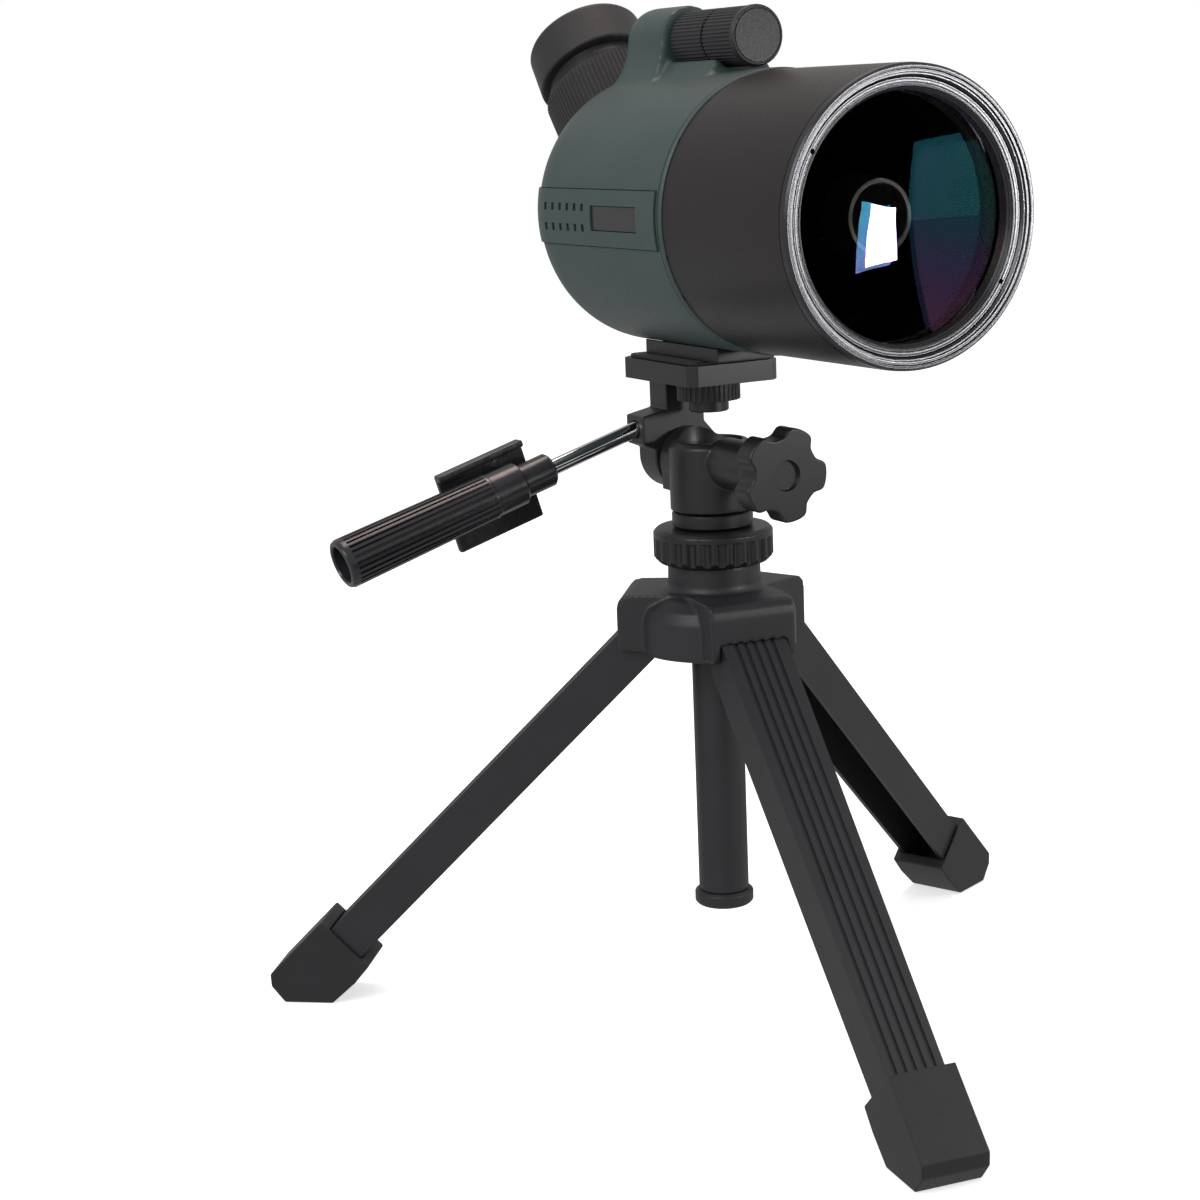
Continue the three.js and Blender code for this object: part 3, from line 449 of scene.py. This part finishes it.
# ---- scope: body ----
def dome(radius, length, steps):
    turns = [math.pi / 2 * i / steps for i in range(steps)]
    return [(radius * math.cos(a), DOME_START + length * math.sin(a)) for a in turns] + [
        (0, DOME_START + length)]


def body_form(grow, segments=160):
    profile = [(0, SEAM), (BODY_R + grow, SEAM)] + dome(BODY_R + grow, DOME_LENGTH + grow, 14)
    return place(turned(profile, segments), ON_AXIS)


def flank(top, half):
    """Half of the hump's outline, from its foot in the body up to top: a flare that turns upright."""
    foot = math.sqrt(BODY_R ** 2 - FLARE ** 2) - 2
    points = []
    for i in range(9):
        t = i / 8
        points.append((FLARE * (1 - t) ** 2 + 2 * (half + 1) * t * (1 - t) + half * t * t,
                       foot * (1 - t) ** 2 + 2 * (BODY_R - 1) * t * (1 - t) + top * t * t))
    return points


def ridge(top, half, round_top, y0, y1):
    side = flank(top, half)
    turns = [math.pi * i / 24 for i in range(1, 24)] if round_top else []
    arc = [(half * math.cos(a), top + half * math.sin(a)) for a in turns]
    outline = side + arc + [(-x, z) for x, z in reversed(side)]
    # drawn flat, then stood up: the outline's second value is the height
    shape = prism([(x, -z) for x, z in outline], y0, y1)
    return place(shape, ON_AXIS)


def neck_rod(radius, start, end):
    return place(rod(radius, start, end, 128), ON_EYEPIECE)


hump = ridge(KNOB_UP, HUMP_R, True, LIP_Y, HUMP_END)
tail_side = flank(KNOB_UP, HUMP_R)
tail_turns = [math.pi / 16 * i for i in range(1, 8)]
tail_arc = [(HUMP_R * math.cos(a), KNOB_UP + HUMP_R * math.sin(a)) for a in tail_turns]
tail = turned([(0, tail_side[0][1])] + tail_side + tail_arc + [(0, KNOB_UP + HUMP_R)], 96)
place(tail, Matrix.Translation((0, HUMP_END, AXIS)))
cradle = cut(ridge(BODY_R + 4, HUMP_R - 2, False, KNOB_FRONT + 11, LIP_Y + 1),
             place(rod(KNOB_R + 1.1, KNOB_FRONT, LIP_Y), ON_KNOB))
shell = join(body_form(0), neck_rod(TUBE_R + 3.5, 12, ZOOM_START - RUNNING), hump, tail, cradle)
shell = soften(shell, 0.95, 9)
# crisp work after the fillets: the front edge, the openings and the panel beds
shell = cut(shell, block((-70, SEAM - 9, AXIS - 70), (70, SEAM + 2.2, AXIS + 45)))
cavity_r = BODY_R - BODY_WALL
rim = turned([(cavity_r, SEAM), (BODY_R - 0.5, SEAM), (BODY_R, SEAM + 0.5), (BODY_R, SEAM + 1.7),
              (BODY_R - 0.35, SEAM + 2.0), (BODY_R - 0.35, SEAM + 2.9), (cavity_r, SEAM + 2.9)], 160)
shell = join(shell, place(rim, ON_AXIS))
cavity = [(0, SEAM - 1), (cavity_r, SEAM - 1)] + dome(cavity_r, DOME_LENGTH - BODY_WALL, 12)
shell = cut(shell, place(turned(cavity, 96), ON_AXIS), neck_rod(TUBE_R + GAP, 12, ZOOM_START + 1),
            neck_rod(ZOOM_R + 0.8, ZOOM_START, 100),
            block((-6.5, 11.5, AXIS + 30), (6.5, 30, AXIS + KNOB_UP + 6.5)),
            place(rod(5.3, LIP_Y - 1, 12), ON_KNOB), rod(4.2, AXIS - BODY_R - 1, AXIS - BODY_R + 8))

for side, sign in (("left", -1), ("right", 1)):
    def side_block(y0, y1, z0, z1):
        xs = sorted((sign * (BODY_R - 14), sign * 70))
        return block((xs[0], y0, AXIS + z0), (xs[1], y1, AXIS + z1))

    def panel_block(grow):
        return side_block(PANEL_FRONT - grow, PANEL_REAR + grow, -PANEL_HALF - grow, PANEL_HALF + grow)

    def label_block(grow):
        return side_block(LABEL_FRONT - grow, LABEL_REAR + grow, -LABEL_HALF - grow, LABEL_HALF + grow)

    shell = cut(shell, within(panel_block(GAP),
                              cut(body_form(3, 96), body_form(-PANEL_DEPTH - GAP, 96))))
    panel = within(panel_block(0), cut(body_form(PANEL_PROUD), body_form(-PANEL_DEPTH)))
    slots = [side_block(y - 0.95, y + 0.95, z - 1.3, z + 1.3)
             for y in (0.5 + 5.6 * i for i in range(6)) for z in (-3.6, 3.6)]
    panel = bevel(cut(panel, label_block(0), *slots), 0.25, 2, 50)
    deliver(panel, f"side_panel_{side}_moulded", "tilt", GREEN,
            [f"side_panel_{side}"])
    plate = within(label_block(-GAP), cut(body_form(0.1), body_form(-PANEL_DEPTH)))
    deliver(bevel(plate, 0.2, 2, 50), f"nameplate_{side}_blank", "tilt", GLOSS,
            [f"nameplate_{side}"])



def in_cavity(face):
    out = face.center - Vector((0, min(face.center.y, DOME_START), AXIS))
    return out.length < BODY_R - 1.2 and face.normal.dot(out) < 0


line(shell, GREEN, FLAT_BLACK, in_cavity)
deliver(shell, "body_shell_moulded", "tilt", GREEN, ["body_shell"], 28)
refined("mount_foot", "mount_foot_moulded", "tilt", NYLON_FINE, 0.6, 3)

# ---- scope: barrel and front optics ----
spigot = cavity_r - GAP
bore = BARREL_R - BARREL_WALL
tube_front = FRONT + 3.3
barrel = bevel(turned([
    (bore, tube_front), (BARREL_R, tube_front), (BARREL_R, SEAM - 0.5), (spigot, SEAM - 0.5),
    (spigot, SEAM + 9), (spigot - 2.2, SEAM + 9), (spigot - 2.2, SEAM - 2), (bore, SEAM - 4)],
    192), 0.25)
line(barrel, ANODISED, FLAT_BLACK,
     lambda face: math.hypot(face.center.x, face.center.y) < bore + 0.2)
place(barrel, ON_AXIS)
deliver(barrel, "barrel_tube_anodised", "tilt", ANODISED, ["barrel_tube"])

seat = RETAINER_R + GAP
lens_rear = FRONT + 16.6
cell_r = bore - GAP
bezel = bevel(turned([
    (BARREL_R - 0.9, FRONT), (BARREL_R - 0.2, FRONT + 0.7), (BARREL_R, tube_front - GAP),
    (cell_r, tube_front - GAP), (cell_r, lens_rear + 3), (RETAINER_R - 3, lens_rear + 3),
    (RETAINER_R - 3, lens_rear + 1.2), (seat, lens_rear + 1.2), (seat, FRONT + 2.2),
    (seat + 0.6, FRONT + 1.4), (seat + 1.2, FRONT + 1.4), (seat + 1.3, FRONT + 0.7),
    (seat + 2.3, FRONT + 0.7), (seat + 2.5, FRONT)], 192), 0.15)
deliver(place(bezel, ON_AXIS), "front_bezel_turned", "tilt", TURNED_FACE,
        ["front_bezel"])

front = FRONT + 2.4
steps = [(0, 5.6), (0, 1.8), (0.5, 1.4), (0.6, 0.9), (1.1, 0.5), (1.2, 0), (1.8, 0), (1.9, 0.3),
         (2.2, 0.3), (2.3, 0)]      # out from the aperture, back from the ring's face
retainer = turned([(RETAINER_R, front), (RETAINER_R, front + 5.6)]
                  + [(APERTURE_R + out, front + behind) for out, behind in steps], 192)
retainer = place(bevel(retainer, 0.08, 1), ON_AXIS)
spanner = [place(rod(0.9, front - 1, front + 3, 20),
                 ON_AXIS @ turn(a, "Z") @ Matrix.Translation((0, -APERTURE_R - 2.5, 0)))
           for a in (-58, 122)]
retainer = cut(retainer, *spanner)
deliver(retainer, "retaining_ring_knurled", "tilt", TURNED_FACE, ["retaining_ring"])


def bow(edge, sag, radius, steps):
    return [(radius * i / steps, edge + sag * (1 - (i / steps) ** 2)) for i in range(steps + 1)]


lens_edge = FRONT + 8.3
lens_r = RETAINER_R - GAP
lens = turned(bow(lens_edge, 5.4, lens_r, 12) + bow(lens_rear, 5.0, lens_r, 12)[::-1], 128)
deliver(place(lens, ON_AXIS), "corrector_meniscus", "tilt", GLASS_FRONT,
        ["corrector_lens"], 60)
back = lens_rear + 5.0      # the middle of the lens's rear face
deliver(place(rod(10.6, back + GAP, back + 1.3), ON_AXIS), "secondary_mirror_disc", "tilt",
        FLAT_BLACK, ["secondary_mirror"])
baffle = bevel(turned([(11, back + 0.2), (12.6, back + 0.2), (14.2, back + 15), (13, back + 15)]),
               0.2)
deliver(place(baffle, ON_AXIS), "secondary_baffle_cone", "tilt", TURNED_BLACK,
        ["secondary_baffle"])
baffle = bevel(turned([(9.3, -64), (10.5, -64), (10.5, 17.6), (14, 17.6), (14, 20.2), (9.3, 20.2)]),
               0.2)
deliver(place(baffle, ON_AXIS), "primary_baffle_tube", "tilt", FLAT_BLACK,
        ["primary_baffle"])
curve = [(MIRROR_R - (MIRROR_R - MIRROR_BORE) * i / 12,
          -6 + 2.6 * (1 - (1 - (1 - MIRROR_BORE / MIRROR_R) * i / 12) ** 2)) for i in range(13)]
primary = turned(curve + [(MIRROR_BORE, 4), (MIRROR_R, 4)])
# the primary mirror carries the near-black painted shade of the tube, not the bright colour of aluminium
deliver(place(primary, ON_AXIS), "primary_mirror_ground", "mirror_carriage", PAINTED_SHADE_MIRROR,
        ["primary_mirror"])

# ---- scope: focus knobs ----
def knob_ring(y0, y1, bore):
    ring = prism(toothed(KNOB_R - 0.2, 0.45, 46), y0, y1)
    ring = bevel(cut(ring, rod(bore, y0 - 1, y1 + 1, 48)), 0.12, 1, 30)
    return place(ring, ON_KNOB)


deliver(knob_ring(KNOB_SPLIT + 0.7, LIP_Y - 2, 2.8), "coarse_focus_ribbed", "coarse_focus", NYLON,
        ["coarse_focus_ring"], 30)
deliver(knob_ring(KNOB_FRONT + 2.4, KNOB_SPLIT - 0.7, 2.9), "fine_focus_ribbed", "fine_focus", NYLON,
        ["fine_focus_ring"], 30)
face_profile = [(0, KNOB_FRONT), (KNOB_R - 1.5, KNOB_FRONT), (KNOB_R - 1.45, KNOB_FRONT + 0.35),
                (KNOB_R - 1.05, KNOB_FRONT + 0.35), (KNOB_R - 1.0, KNOB_FRONT),
                (KNOB_R - 0.6, KNOB_FRONT),
                (KNOB_R, KNOB_FRONT + 0.6), (KNOB_R, KNOB_FRONT + 2), (0, KNOB_FRONT + 2)]
deliver(place(bevel(turned(face_profile), 0.12, 2), ON_KNOB), "fine_focus_face", "fine_focus", NYLON,
        ["fine_focus_cap"])

# ---- scope: eyepiece ----
ring_top = ZOOM_START + ZOOM_LENGTH
tube = bevel(turned([
    (TUBE_BORE, 22), (TUBE_R, 22), (TUBE_R, ring_top + RUNNING), (TUBE_R + 2.6, ring_top + RUNNING),
    (TUBE_R + 2.6, ring_top + 3), (TUBE_R + 1.6, ring_top + 3.4), (TUBE_R + 1.6, CUP_START - 0.8),
    (UPPER_R, CUP_START - 0.8), (UPPER_R, CUP_START + 11), (TUBE_BORE, CUP_START + 11)]), 0.2)
deliver(place(tube, ON_EYEPIECE), "eyepiece_tube_turned", "tilt", TURNED_BLACK,
        ["eyepiece_tube"])
zoom = cut(prism(toothed(ZOOM_R, 0.6, 86), ZOOM_START + RUNNING, ring_top),
           rod(TUBE_R + RUNNING, 0, 90))
deliver(place(bevel(zoom, 0.12, 1, 30), ON_EYEPIECE), "zoom_ring_ribbed", "zoom", RUBBER,
        ["zoom_ring"], 30)
cup_top = CUP_START + CUP_LENGTH
cup = bevel(turned([
    (UPPER_R + RUNNING, CUP_START), (CUP_R - 0.6, CUP_START), (CUP_R, CUP_START + 0.6),
    (CUP_R - 0.7, cup_top - 1.6), (CUP_R - 1.8, cup_top), (CUP_R - 3.4, cup_top),
    (CUP_R - 4.6, cup_top - 1.0), (TUBE_BORE + 0.6, CUP_START + 13.2),
    (TUBE_BORE + 0.6, CUP_START + 11.4), (UPPER_R + RUNNING, CUP_START + 11.4)], 144), 0.7, 3, 25)
deliver(place(cup, ON_EYEPIECE), "eyecup_moulded", "eyecup", RUBBER, ["eyecup"], 40)
eye_r = TUBE_BORE - GAP
eye = turned(bow(CUP_START + 4.9, -1.9, eye_r, 8) + bow(CUP_START + 8, 1.5, eye_r, 8)[::-1], 96)
deliver(place(eye, ON_EYEPIECE), "eye_lens_coated", "tilt", GLASS, ["eye_lens"], 60)

# ---- head ----
head = join(turned([(0, HEAD_LOW), (HEAD_R, HEAD_LOW), (HEAD_R, HEAD_TOP - 1.9),
                    (HEAD_R - 1.9, HEAD_TOP), (0, HEAD_TOP)]),
            place(rod(12.4, 3, 17), Matrix.Translation((0, 0, -1.5)) @ ON_PIVOT),
            place(rod(9.3, -34.5, -3), ON_PIVOT), block((-11.7, 1, 201), (11.7, 16.5, PIVOT - 2.7)))
head = soften(head, 0.42, 5)
head = cut(head, turned([(0, 217.2), (HEAD_R - 4, 217.2), (HEAD_R - 3.4, HEAD_TOP),
                         (HEAD_R - 3.4, HEAD_TOP + 8.5), (0, HEAD_TOP + 8.5)]),
           rod(6 + RUNNING, 193, HEAD_LOW + 6), place(rod(3 + RUNNING, -60, 60, 48), ON_PIVOT))
deliver(head, "head_body_moulded", "head", NYLON_FINE, ["head_body"], 40)

star_rear = STAR_FACE + STAR_THICK
lobes = [(x, -y) for x, y in wavy(STAR_R, STAR_R * 0.22, 5, 240, math.radians(-6), 2.2, 0.3)]
star = bevel(prism(lobes[::-1], STAR_FACE, star_rear), 0.9, 3, 50)
hub = turned([(0, star_rear - 1), (11.5, star_rear - 1), (11.5, star_rear), (10, star_rear + 7.6),
              (0, star_rear + 7.6)])
dish = turned([(0, STAR_FACE + 1.6), (5.2, STAR_FACE + 1.6), (5.8, STAR_FACE - 1), (0, STAR_FACE - 1)])
star = cut(join(star, hub), dish, rod(3 + GAP, STAR_FACE + 2.6, star_rear + 9, 48))
star = bevel(star, 0.25, 2, 55)
deliver(place(star, ON_PIVOT), "star_knob_moulded", "star_knob", NYLON_FINE,
        ["tilt_knob"], 40)

refined("tilt_bracket", "tilt_bracket_moulded", "tilt", NYLON_FINE, 0.7, 3, 40)
refined("platform", "platform_moulded", "tilt", NYLON_FINE, 0.6, 3)
refined("platform_pad", "platform_pad_sheet", "tilt", RUBBER, 0.2)

wheel_low = WHEEL_TOP - WHEEL_HEIGHT
wheel = join(bevel(prism(toothed(WHEEL_R, 0.55, 36), wheel_low, WHEEL_TOP), 0.2, 2, 30),
             turned([(0, wheel_low - 4.2), (6.9, wheel_low - 4.2), (7.3, wheel_low - 3.8),
                     (7.3, wheel_low + 0.2), (0, wheel_low + 0.2)]))
wheel = cut(wheel, rod(3.475, wheel_low, WHEEL_TOP + 1, 48))
deliver(wheel, "screw_wheel_ribbed", "screw_wheel", NYLON_FINE,
        ["mount_screw_wheel"], 30)

# ---- handle ----
LENGTHWAYS = ON_HANDLE @ ALONG_Y
rod_piece = bevel(rod(ROD_R, -15, 70, 64), 0.3)
deliver(place(rod_piece, LENGTHWAYS), "handle_rod_chromed", "handle", CHROME, ["handle_rod"])
sleeve_r = ROD_R + GAP
collar_end = COLLAR + 13
collar = place(turned([(sleeve_r, COLLAR), (COLLAR_R - 0.9, COLLAR), (COLLAR_R, COLLAR + 1),
                       (COLLAR_R, collar_end), (sleeve_r, collar_end)]), ALONG_Y)
wing_start = COLLAR + 4
wing_end = wing_start + WING_LENGTH
wing = bevel(block((WING_TOP, wing_start, WING_BACK), (WING_FOOT, wing_end, WING_BACK + 3)), 0.9, 3)
wing_lip = bevel(block((WING_TOP, wing_start, WING_BACK - 2.2),
                       (WING_TOP + 2.6, wing_end, WING_BACK + 1)), 0.7, 3)
bridge = block((-3, wing_start, COLLAR_R - 2), (3, collar_end - 0.5, WING_BACK + 1))
collar = bevel(join(collar, wing, wing_lip, bridge), 0.2, 2, 50)
deliver(place(collar, ON_HANDLE), "handle_collar_winged", "handle", GLOSS,
        ["handle_collar"])
grip_start = collar_end + GAP
grip_end = grip_start + GRIP_LENGTH
grip = turned([
    (sleeve_r, grip_start), (7.3, grip_start), (8.1, grip_start + 0.8), (8.15, grip_start + 12.4),
    (8.5, grip_start + 13), (9.25, grip_end - 1.6), (8.7, grip_end - 0.3), (8.1, grip_end),
    (7.2, grip_end), (6.8, grip_end - 0.6), (6.8, grip_end - 12), (sleeve_r, grip_end - 14)])
place(grip, ALONG_Y)
groove = bevel(block((-0.5, grip_start + 14, 7.9), (0.5, grip_end - 3, 10.5)), 0.2, 1)
for i in range(GRIP_GROOVES):
    one = groove.copy()
    one.data = groove.data.copy()
    bpy.context.scene.collection.objects.link(one)
    place(one, turn(360 / GRIP_GROOVES * i, "Y"))
    grip = cut(grip, one)
bpy.data.objects.remove(groove)
grip = cut(grip, block((-20, grip_start - 1, WING_BACK - GAP), (20, wing_end, WING_BACK + 5)))
deliver(place(grip, ON_HANDLE), "handle_grip_ribbed", "handle", GLOSS,
        ["handle_grip"], 30)

# ---- tripod ----
column_bore = COLUMN_R - COLUMN_WALL
plug = column_bore - GAP
column = bevel(turned([(column_bore, COLUMN_LOW + 6), (COLUMN_R, COLUMN_LOW + 6),
                       (COLUMN_R, COLUMN_TOP), (column_bore, COLUMN_TOP)]), 0.2)
deliver(column, "column_tube_drawn", "column", NYLON, ["column_tube"])
cap = bevel(turned([(0, COLUMN_LOW), (10.2, COLUMN_LOW), (11.2, COLUMN_LOW + 1),
                    (11.2, COLUMN_LOW + 4.6), (10, COLUMN_LOW + 5.7), (plug, COLUMN_LOW + 5.7),
                    (plug, COLUMN_LOW + 14), (0, COLUMN_LOW + 14)]), 0.3, 3)
deliver(cap, "column_end_cap_moulded", "column", NYLON, ["column_end_cap"])
base = turned([(0, 178), (plug, 178), (plug, COLUMN_TOP + GAP), (COLUMN_R + GAP, COLUMN_TOP + GAP),
               (COLUMN_R + GAP, LOCK_TOP + GAP), (14.3, LOCK_TOP + GAP), (15.1, LOCK_TOP + 1.1),
               (15.1, HEAD_LOW - 1.4), (14.5, HEAD_LOW - 0.8), (6, HEAD_LOW - 0.8), (6, HEAD_LOW + 5),
               (0, HEAD_LOW + 5)])
deliver(bevel(base, 0.12), "head_base_turned", "column", NYLON_FINE, ["head_base"])

lock = within(prism(wavy(LOCK_R, 1.5, 24, 288, 0, 1.6), LOCK_LOW, LOCK_TOP),
              turned([(0, LOCK_LOW), (LOCK_R - 2, LOCK_LOW), (LOCK_R, LOCK_LOW + 2),
                      (LOCK_R, LOCK_TOP - 1.5), (LOCK_R - 1.5, LOCK_TOP), (0, LOCK_TOP)]))
flange = turned([(0, LOCK_TOP - 3.4), (LOCK_R, LOCK_TOP - 3.4), (LOCK_R, LOCK_TOP - 1.4),
                 (LOCK_R - 1.4, LOCK_TOP), (0, LOCK_TOP)])
lock = join(bevel(lock, 0.3, 2, 30), bevel(flange, 0.4, 3))
lock = cut(lock, rod(NECK_R + RUNNING, LOCK_LOW - 1, NECK_TOP + RUNNING),
           rod(COLUMN_R + RUNNING, LOCK_LOW, LOCK_TOP + 1))
deliver(lock, "lock_ring_scalloped", "lock_ring", NYLON_FINE,
        ["column_lock_ring"], 40)

cheek_in, cheek_out, inner_wall, leg_face = 13.2, 16.6, 12.8, 6.2
crown = turned([(0, CROWN_LOW), (29, CROWN_LOW), (30, CROWN_LOW + 1), (30, 156), (28.5, 160),
                (24, 163.2), (18.5, 165), (17.4, 167), (17.2, LOCK_LOW - RUNNING),
                (NECK_R, LOCK_LOW - RUNNING), (NECK_R, NECK_TOP), (0, NECK_TOP)])
hood_outline = [(8, CROWN_LOW), (REACH, CROWN_LOW + 2), (REACH, CROWN_TOP - 5),
                (REACH - 0.6, CROWN_TOP - 2.4), (REACH - 2.4, CROWN_TOP - 0.6),
                (REACH - 5, CROWN_TOP), (8, CROWN_TOP)]
hood_under = CROWN_TOP - 4
# on the leg's outer face, the distance from the axis and the height add up to this
slope_sum = HINGE_R + HINGE_Z + (leg_face + RUNNING) * math.sqrt(2)
sweep_outline = [(inner_wall, CROWN_LOW - 5), (inner_wall, hood_under),
                 (slope_sum - hood_under, hood_under),
                 (REACH + 5, slope_sum - REACH - 5), (REACH + 5, CROWN_LOW - 5)]


def yoke(outline, half, degrees):
    return place(prism(outline, -half, half), turn(degrees, "Z") @ turn(90, "X"))


for degrees in LEG_TURNS.values():
    crown = join(crown, yoke(hood_outline, cheek_out, degrees))
for degrees in LEG_TURNS.values():
    crown = cut(crown, yoke(sweep_outline, cheek_in, degrees))
crown = soften(crown, 0.55, 6)
crown = cut(crown, rod(COLUMN_R + RUNNING, CROWN_LOW - 1, NECK_TOP + 1),
            rod(12.1, 163, NECK_TOP + 1))
deliver(crown, "crown_moulded", "crown", NYLON, ["crown"], 35)

for side, degrees in LEG_TURNS.items():
    refined(f"leg_channel_{side}", f"leg_{side}_channel", f"leg_{side}", NYLON,
            0.35, 2, 40)
    refined(f"leg_foot_{side}", f"leg_{side}_boot", f"leg_{side}", RUBBER, 0.9, 3, 25)
    pin = bevel(rod(2, -15.4, 15.4, 48), 0.3)
    place(pin, turn(degrees, "Z") @ Matrix.Translation((HINGE_R, 0, HINGE_Z)) @ ALONG_Y)
    deliver(pin, f"leg_{side}_pin", "crown", STEEL, [f"leg_pin_{side}"])

# ---- CAD nodes that stay, inside the scope and the head ----
stay = {
    "column_collet": GLOSS, "tilt_bolt": STEEL, "mount_screw": STEEL, "mirror_cell": FLAT_BLACK,
    "focus_nut": BRASS, "focus_bush": BRASS, "focus_shaft": STEEL, "prism": GLASS,
    "prism_holder": FLAT_BLACK,
    "field_lens": GLASS, "zoom_lens_cell": FLAT_BLACK, "zoom_lens": GLASS,
}
for node, material in stay.items():
    mesh = frame["nodes"][node].data
    mesh.materials.clear()
    mesh.materials.append(material)

# ---- floor, light and camera ----
deselect()
bpy.ops.mesh.primitive_plane_add(size=14, location=(0, 0, -0.0002))
floor = bpy.context.object
floor.name = "studio_floor"
paper = finish("studio_paper", "#f4f4f4", "#fafafa", 400, 2.0, 0.01, (0.85, 0.95),
               Emission_Strength=0.6, Emission_Color=(1, 1, 1, 1))
floor.data.materials.append(paper)
floor.visible_diffuse = floor.visible_glossy = False

# A white studio behind the object, and a dimmer one round it.
world = bpy.data.worlds.new("studio")
bpy.context.scene.world = world
world.use_nodes = True
sky = world.node_tree
ray = add_node(sky, "ShaderNodeLightPath")
level = add_node(sky, "ShaderNodeMapRange", values={"To Min": 0.5, "To Max": 1.0},
                 links=[("Value", ray, "Is Camera Ray")])
sky.nodes["Background"].inputs["Color"].default_value = (1, 1, 1, 1)
sky.links.new(level.outputs["Result"], sky.nodes["Background"].inputs["Strength"])
bpy.context.scene.view_settings.view_transform = "Standard"


def softbox(name, position, target, width, height, power, colour="#ffffff"):
    light = bpy.data.objects.new(name, bpy.data.lights.new(name, "AREA"))
    light.data.shape = "RECTANGLE"
    light.data.size, light.data.size_y = width, height
    light.data.energy = power
    light.data.color = linear(colour)[:3]
    light.location = position
    light.rotation_euler = (Vector(target) - Vector(position)).to_track_quat("-Z", "Y").to_euler()
    bpy.context.scene.collection.objects.link(light)


def card(name, corners, colour, strength=0.0):
    """A studio card that only reflections see: a black flag, or a lit panel."""
    deselect()
    bpy.ops.mesh.primitive_plane_add(size=1)
    made = bpy.context.object
    made.name = name
    for vertex, corner in zip(made.data.vertices, corners):
        vertex.co = corner
    cloth = finish(name + "_cloth", colour, colour, 100, 5, 0, (0.9, 1.0), Specular_IOR_Level=0.0,
                   Emission_Color=(1, 1, 1, 1), Emission_Strength=strength)
    made.data.materials.append(cloth)
    made.visible_camera = made.visible_diffuse = made.visible_shadow = False


softbox("key_left", (-1.3, -0.5, 1.1), (0, 0, 0.25), 0.8, 1.0, 12)
softbox("fill_right", (1.4, -0.9, 0.8), (0, 0, 0.25), 0.5, 1.0, 6)
softbox("top", (0.1, 0.3, 1.5), (0, 0, 0.3), 0.6, 0.6, 8, "#ffe4dc")
# plane corners come in the order near left, near right, far left, far right
card("black_flag_low", [(-0.15, -0.48, 0), (1.2, -0.48, 0), (-0.15, -0.48, 0.22), (1.2, -0.48, 0.22)],
     "#000000")
card("black_flag_right", [(0.24, -0.5, 0.15), (1.2, -0.5, 0.15), (0.19, -0.5, 0.9), (1.2, -0.5, 0.9)],
     "#000000")
card("lit_panel", [(0.242, -0.47, 0.268), (0.3, -0.47, 0.262), (0.246, -0.47, 0.318),
                   (0.315, -0.47, 0.322)], "#ffffff", 120.0)

AZIMUTH, ELEVATION, ROLL = math.radians(-27.82), math.radians(12.14), -0.042
CAMERA_AT = (-438.64, -738.81, 346.0)
camera = bpy.data.objects.new("camera", bpy.data.cameras.new("camera"))
camera.data.lens, camera.data.sensor_width = 70.25, 36
camera.data.clip_start, camera.data.clip_end = 0.01, 50
level_out = math.cos(ELEVATION)
behind = Vector((math.sin(AZIMUTH) * level_out, -math.cos(AZIMUTH) * level_out, math.sin(ELEVATION)))
right = Vector((math.cos(AZIMUTH), math.sin(AZIMUTH), 0))
up = behind.cross(right)
view_x = math.cos(ROLL) * right + math.sin(ROLL) * up
view_y = math.cos(ROLL) * up - math.sin(ROLL) * right
camera.matrix_world = Matrix.Translation(ROW @ Vector(CAMERA_AT)) @ Matrix(
    (view_x, view_y, behind)).transposed().to_4x4()
bpy.context.scene.collection.objects.link(camera)
bpy.context.scene.camera = camera
